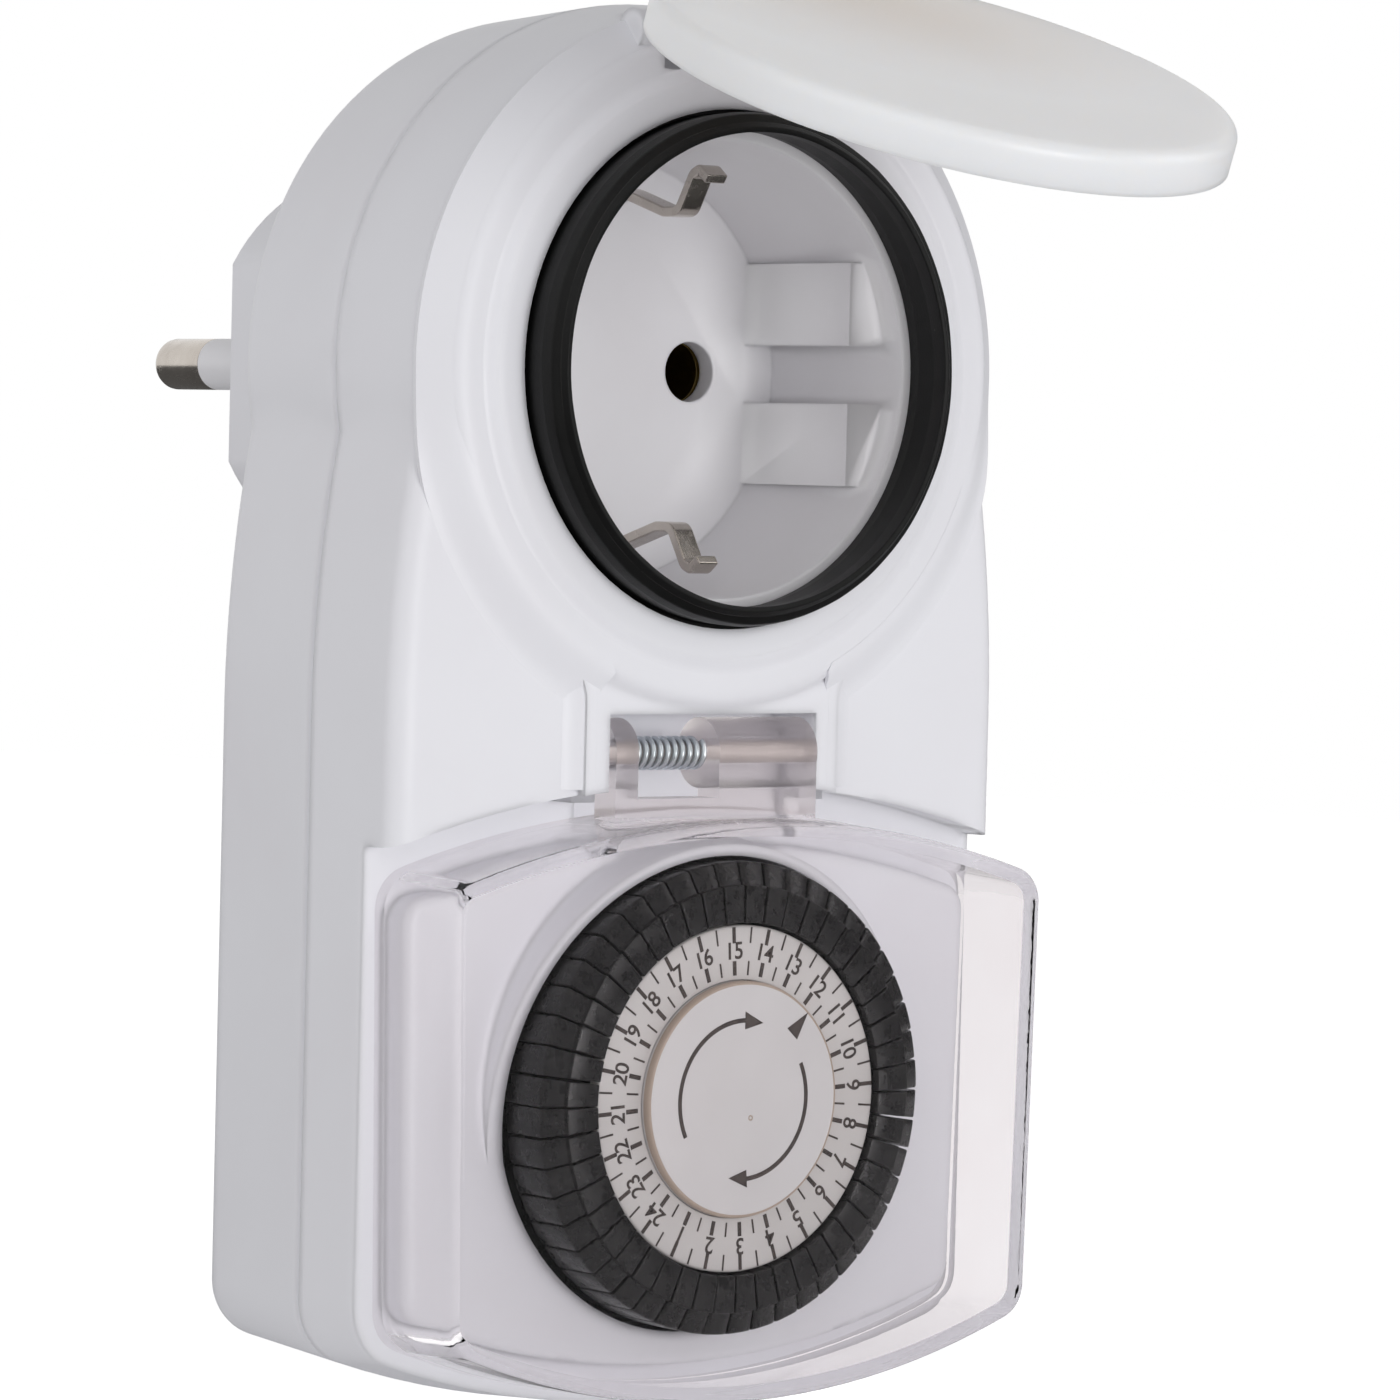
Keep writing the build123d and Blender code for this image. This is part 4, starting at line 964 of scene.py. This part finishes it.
def make_screws():
    """Screws of (piece, node, head radius, head, shank radius, slot, cross drive)."""
    for seed, (name, node, head_r, head, shank_r, slot, cross) in enumerate((
            ("housing_screws", "shell_screws", 2.5, 1.9, 1.4, 0.7, True),
            ("movement_screws", "plate_screws", 2.0, 1.3, 0.95, 0.5, False),
            ("can_screws", "motor_screws", 1.7, 1.2, 0.75, 0.5, False))):
        found = solids_of(node)
        shank = (found[0][2] - found[0][1]) / MM - head
        template = screw_template(name + "_one", head_r, head, shank_r, shank, slot, cross)
        places = bpy.data.meshes.new(name + "_places")
        places.from_pydata([(x, high - head * MM, z) for x, _, high, z in found], [], [])
        mesh = grown(name, places, SCREWS, Screw=template, Seed=seed, Material=looks["zinc"])
        bpy.data.objects.remove(template)
        shown(name, smooth(mesh, 35), "housing", None, [node])


# ---- dial
def make_tappets():
    """Forty-eight stepped tappets, four to a body."""
    pitch = 2 * math.pi / TAPPETS
    half = pitch / 2 - TAPPET_GAP / 2
    outline = rounded([(15.35, -4.6, 0.12), (18.6, -4.6, 0.14), (18.6, -4.1, 0.1), (20.6, -3.4, 0.3),
                       (20.6, 1.6, 0.1), (15.35, 1.6, 0.1)], 2)
    middle = sum(outline, Vector((0, 0))) / len(outline)
    shy = [p + (middle - p).normalized() * TAPPET_CHAMFER for p in outline]
    turn_in = TAPPET_CHAMFER / 18.0
    work = bmesh.new()
    rows = []
    for a, points in ((-half, shy), (-half + turn_in, outline), (-half / 3, outline), (half / 3, outline),
                      (half - turn_in, outline), (half, shy)):
        rows.append([work.verts.new((p.x * MM * math.cos(a), p.y * MM, p.x * MM * math.sin(a)))
                     for p in points])
    skinned(work, rows)
    foot = Matrix.Translation((17.3 * MM, 3.5 * MM, 0)) @ Matrix.Diagonal((1.4 * MM, 4.0 * MM, 1.3 * MM, 1))
    bmesh.ops.create_cube(work, size=1.0, matrix=foot)
    bmesh.ops.recalc_face_normals(work, faces=work.faces)
    template = smooth(to_mesh(work, "tappet"), 40)
    first = math.pi / 2 + pitch / 2
    for group in range(TAPPETS // TAPPETS_IN_GROUP):
        number = "_%02d" % (group + 1)
        name = "tappet_keys" + number
        mesh = grown(name, template.copy(), ROUND_DIAL, Count=TAPPETS_IN_GROUP,
                     First=first + group * TAPPETS_IN_GROUP * pitch, Step=pitch, Centre=(0, RIM_Y, DIAL.z),
                     Lean=math.radians(0.35), Slip=0.06 * MM, Seed=11 + group, Material=looks["tappet"])
        shown(name, mesh, "tappet_group" + number, None, ["tappets" + number])


def make_number_ring():
    outline = rounded([(10.36, -2.8, 0), (15.1, -2.8, 0), (15.1, -4.0, 0.25), (10.36, -4.0, 0.05)], 4)
    mesh = turned_mesh("number_ring_print", outline, 192, 40, 0, DIAL.z)
    shown("number_ring_print", mesh, "dial", "number ring", ["number_ring"])


def make_ticks():
    """Hour and half-hour marks in two rows."""
    rows = []
    centre = (0, DIAL.y - PRINT_THICK / 2, DIAL.z)
    for name, inner, outer, hour_width, half_width in (("outer", 13.55, 14.95, 0.36, 0.18),
                                                       ("inner", 10.75, 12.0, 0.4, 0.18)):
        for kind, width, shift in (("hour", hour_width, 0.0), ("half", half_width, 0.5)):
            work = bmesh.new()
            size = Matrix.Diagonal(((outer - inner) * MM, PRINT_THICK, width * MM, 1))
            out = Matrix.Translation(((outer + inner) / 2 * MM, 0, 0))
            bmesh.ops.create_cube(work, size=1.0, matrix=out @ size)
            label = "%s_%s_ticks" % (name, kind)
            rows.append(grown(label, to_mesh(work, label), ROUND_DIAL, Count=HOURS,
                              First=HOUR_0 + shift * HOUR_STEP, Step=HOUR_STEP, Centre=centre,
                              Lean=math.radians(0.06), Seed=3, Material=looks["ink"]))
    shown("dial_ticks", joined("dial_ticks", rows), "dial")


def make_numerals():
    """Hour numbers, their tops outwards."""
    meshes = []
    for hour in range(1, HOURS + 1):
        words = bpy.data.curves.new("hour_%d" % hour, "FONT")
        words.body = str(hour)
        words.align_x = "CENTER"
        words.extrude = PRINT_THICK / 2
        words.size = 2 * MM
        words.offset = STROKE_MORE
        words.space_character = DIGIT_WIDE
        holder = linked("hour_%d" % hour, words)
        mesh = evaluated(holder)
        bpy.data.objects.remove(holder)
        tops = [v.co.y for v in mesh.vertices]
        grow = DIGIT_HEIGHT / (max(tops) - min(tops))
        angle = HOUR_0 + hour * HOUR_STEP
        flat = Matrix.Diagonal((grow * DIGIT_WIDE, grow, 1, 1)) @ Matrix.Translation((0, -min(tops), 0))
        lifted = Matrix.Translation((0, DIGIT_FOOT_R, 0)) @ flat
        faced = Matrix.Rotation(math.pi / 2, 4, "X") @ lifted
        mesh.transform(Matrix.Translation((0, DIAL.y - PRINT_THICK / 2, DIAL.z))
                       @ Matrix.Rotation(math.pi / 2 - angle, 4, "Y") @ faced)
        mesh.materials.clear()
        mesh.materials.append(looks["ink"])
        meshes.append(mesh)
    shown("dial_numbers", joined("dial_numbers", meshes), "dial")


def ring_point(r, degrees):
    a = math.radians(degrees)
    return Vector((r * math.cos(a), r * math.sin(a))) * MM + Vector((0, DIAL.z))


def make_centre_disc():
    """Fixed disc with its rounded edge and the gate mark of its moulding."""
    meshes = []
    for name, look, corners, corner_steps, steps, degrees, x, z in (
            ("disc", "disc", [(0, -4.9, 0), (10.3, -4.9, 0.35), (10.3, -3.1, 0.05), (2.45, -3.1, 0),
                              (2.45, -3.9, 0), (0, -3.9, 0)], 5, 192, 40, 0, 0),
            ("disc_edge", "disc edge", [(10.0, -4.905, 0), (10.18, -4.9, 0.05), (10.31, -4.6, 0.05),
                                        (10.31, -4.2, 0), (10.2, -4.2, 0)], 3, 192, 60, 0, 0),
            ("gate", "disc edge", [(0, -4.86, 0), (0.26, -4.86, 0), (0.26, -4.92, 0.03), (0.14, -4.92, 0.02),
                                   (0.1, -4.88, 0.01), (0, -4.88, 0)], 2, 24, 40, 0.84, -1.6)):
        mesh = turned_mesh(name, rounded(corners, corner_steps), steps, degrees, x * MM, DIAL.z + z * MM)
        mesh.materials.append(looks[look])
        meshes.append(mesh)
    shown("disc_face", joined("disc_face", meshes), "housing", None, ["centre_disc"])


def make_disc_marks():
    """Two turning arrows and a pointer, printed on the disc."""
    outlines = []
    for tail, base, tip in ((206.0, 90.0, 73.3), (25.5, -85.3, -102.0)):
        steps = [tail + (base - tail) * i / ARROW_STEPS for i in range(ARROW_STEPS + 1)]
        outlines.append([ring_point(ARROW_R + ARROW_HALF_LINE, a) for a in steps]
                        + [ring_point(ARROW_R - ARROW_HALF_LINE, a) for a in reversed(steps)])
        outlines.append([ring_point(ARROW_R + ARROW_HALF_HEAD, base), ring_point(ARROW_R, tip),
                         ring_point(ARROW_R - ARROW_HALF_HEAD, base)])
    tip, base = ring_point(10.1, POINTER_AT), ring_point(7.6, POINTER_AT)
    side = (tip - base).orthogonal().normalized() * 0.75 * MM
    outlines.append([base + side, tip, base - side])
    face_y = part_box("centre_disc")[0].y - PRINT_THICK
    prints = [to_mesh(plate(points, face_y, PRINT_THICK * 1.5), "mark") for points in outlines]
    shown("disc_marks", joined("disc_marks", prints), "housing", "ink")


# ---- covers
def make_covers():
    dressed("clear_cover", "dial_cover", "cover", "clear", degrees=40)
    dressed("milky_lid", "socket_lid", "lid", "lid", degrees=40)
    dressed("cover_pin_rod", "cover_hinge_pin", "housing", "satin pin")
    dressed("lid_pin_rod", "lid_hinge_pin", "housing", "steel")


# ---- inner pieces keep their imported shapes
INNER_LOOKS = {
    "brass": ["socket_contact_live", "socket_contact_neutral", "neutral_bar", "live_bar", "switched_bar",
              "fixed_contact", "contact_blade", "earth_bridge"],
    "gear": ["gear_1", "gear_2", "follower_lever"],
    "inner": ["movement_plate", "switch_block"],
    "steel": ["dial_post", "gear_axles"],
    "tappet": ["dial_carrier"],
    "can": ["motor_can"],
    "winding": ["stator_coil"],
    "ferrite": ["rotor"],
    "brown lead": ["motor_lead_live"],
    "blue lead": ["motor_lead_neutral"],
}


def dress_inner_pieces():
    for look, names in INNER_LOOKS.items():
        for name in names:
            materials = nodes[name].data.materials
            materials.clear()
            materials.append(looks[look])


# ---- floor, light and camera
def seen_by(tree, *kinds):
    """1 for the kinds of light path named that haven't met a matt surface, 0 for the rest."""
    light_path = add(tree, "ShaderNodeLightPath").outputs
    seen = 0.0
    for kind in kinds:
        seen = math_node(tree, "MAXIMUM", seen, light_path["Is %s Ray" % kind])
    return times(tree, seen, math_node(tree, "LESS_THAN", light_path["Diffuse Depth"], 0.5))


def in_plain_sight(tree):
    """1 for what is seen directly, through clear walls, or by a reflection inside the first of them."""
    light_path = add(tree, "ShaderNodeLightPath").outputs
    direct = math_node(tree, "LESS_THAN", light_path["Glossy Depth"], 0.5)
    one_wall = math_node(tree, "LESS_THAN", light_path["Transmission Depth"], 2.5)
    return times(tree, seen_by(tree, "Camera", "Transmission"), math_node(tree, "MAXIMUM", direct, one_wall))


def make_floor():
    """A white floor that keeps a faint shadow."""
    turns = [2 * math.pi * i / FLOOR_STEPS for i in range(FLOOR_STEPS)]
    rim = [FLOOR_MIDDLE + Vector((math.cos(a), math.sin(a), 0)) * FLOOR_REACH for a in turns]
    mesh = bpy.data.meshes.new("floor")
    mesh.from_pydata(rim, [], [range(FLOOR_STEPS)])
    floor = linked("floor", mesh)
    made, tree, body = new_material("white floor")
    mottle = noise(tree, place_in(tree), 9.0, 2.0)
    tint = blend_colours(tree, mottle, paint(202, 202, 202), paint(208, 208, 208))
    mirrored = times(tree, seen_by(tree, "Glossy"),
                     math_node(tree, "SUBTRACT", 1.0, seen_by(tree, "Transmission")))
    tint = blend_colours(tree, mirrored, tint, paint(90, 90, 90))
    tree.links.new(tint, body.inputs["Base Color"])
    body.inputs["Roughness"].default_value = 0.9
    body.inputs["Specular IOR Level"].default_value = 0.1
    glow = times(tree, in_plain_sight(tree), 0.46)
    glow = plus(tree, glow, between(tree, mirrored, 0, 1, 0.38, 0.06))
    glow = add(tree, "ShaderNodeEmission", {"Strength": glow}).outputs[0]
    both = add(tree, "ShaderNodeAddShader", {0: body.outputs[0], 1: glow}).outputs[0]
    tree.links.new(both, tree.nodes["Material Output"].inputs["Surface"])
    mesh.materials.append(made)


def make_world():
    """White behind the object. As light it is plain all round, brighter from the left and dark from above.

    Gloss shows white behind and above, and the dim room in front and below.
    """
    world = bpy.data.worlds.new("studio")
    scene.world = world
    world.use_nodes = True
    tree = world.node_tree
    way = add(tree, "ShaderNodeTexCoord").outputs["Generated"]

    def towards(direction, low, high, out_low, out_high):
        facing = measure(tree, "DOT_PRODUCT", way, Vector(direction).normalized())
        return between(tree, facing, low, high, out_low, out_high)

    light = plus(tree, towards((0.1, 0.15, 0.97), 0.08, 0.5, 0.6, 0.0),
                 towards((-0.7, -0.3, 0.65), 0.4, 1.0, 0.0, 0.82))
    gloss = towards((-0.45, 0.45, 0.77), -0.05, 0.35, 0.12, 1.0)
    feeds = {0: seen_by(tree, "Glossy", "Transmission"), 2: light, 3: gloss}
    strength = add(tree, "ShaderNodeMix", feeds, data_type="FLOAT").outputs[0]
    plain = tree.nodes["Background"]
    plain.inputs["Color"].default_value = (1, 1, 1, 1)
    tree.links.new(strength, plain.inputs["Strength"])
    white = add(tree, "ShaderNodeBackground", {"Color": (1, 1, 1, 1), "Strength": 1.0}).outputs[0]
    feeds = {0: in_plain_sight(tree), 1: plain.outputs[0], 2: white}
    both = add(tree, "ShaderNodeMixShader", feeds).outputs[0]
    tree.links.new(both, tree.nodes["World Output"].inputs["Surface"])


def make_lamp(name, place, aim, size, power):
    """A round lamp at a place, turned to what it lights."""
    lamp = bpy.data.lights.new(name, "AREA")
    lamp.shape = "DISK"
    lamp.size = size
    lamp.energy = power
    holder = linked(name, lamp)
    holder.location = place
    holder.rotation_mode = "QUATERNION"
    holder.rotation_quaternion = (Vector(aim) - Vector(place)).to_track_quat("-Z", "Y")


def make_camera():
    """Seen from the front left, level with the socket, with a slight roll."""
    azimuth, elevation, roll = (math.radians(v) for v in CAMERA_TURNS)
    back = Vector((math.sin(azimuth) * math.cos(elevation), -math.cos(azimuth) * math.cos(elevation),
                   math.sin(elevation)))
    right = Vector((math.cos(azimuth), math.sin(azimuth), 0))
    up = back.cross(right)
    across = right * math.cos(roll) + up * math.sin(roll)
    upright = up * math.cos(roll) - right * math.sin(roll)
    lens = bpy.data.cameras.new("camera")
    lens.lens = FOCAL_LENGTH
    lens.sensor_width = 36.0
    lens.shift_x = LENS_SHIFT
    lens.shift_y = LENS_SHIFT
    lens.clip_start = 0.01
    lens.clip_end = 20.0
    camera = linked("camera", lens)
    camera.rotation_mode = "QUATERNION"
    camera.location = CAMERA_PLACE
    camera.rotation_quaternion = Matrix((across, upright, back)).transposed().to_quaternion()
    scene.camera = camera


# ---- the whole
make_camera()
make_world()
make_lamp("key light", (0.12, -1.1, -0.05), (0, -0.03, -0.03), 0.5, 3.65)
make_lamp("right light", (0.24, -0.2, 0.11), (0.02, -0.02, 0), 0.2, 0.165)
make_floor()
make_housing()
make_collar_slopes()
make_seal()
make_earth_clips()
make_pins()
make_springs()
make_screws()
make_tappets()
make_number_ring()
make_ticks()
make_numerals()
make_centre_disc()
make_disc_marks()
make_covers()
dress_inner_pieces()
scene.view_settings.view_transform = "Standard"
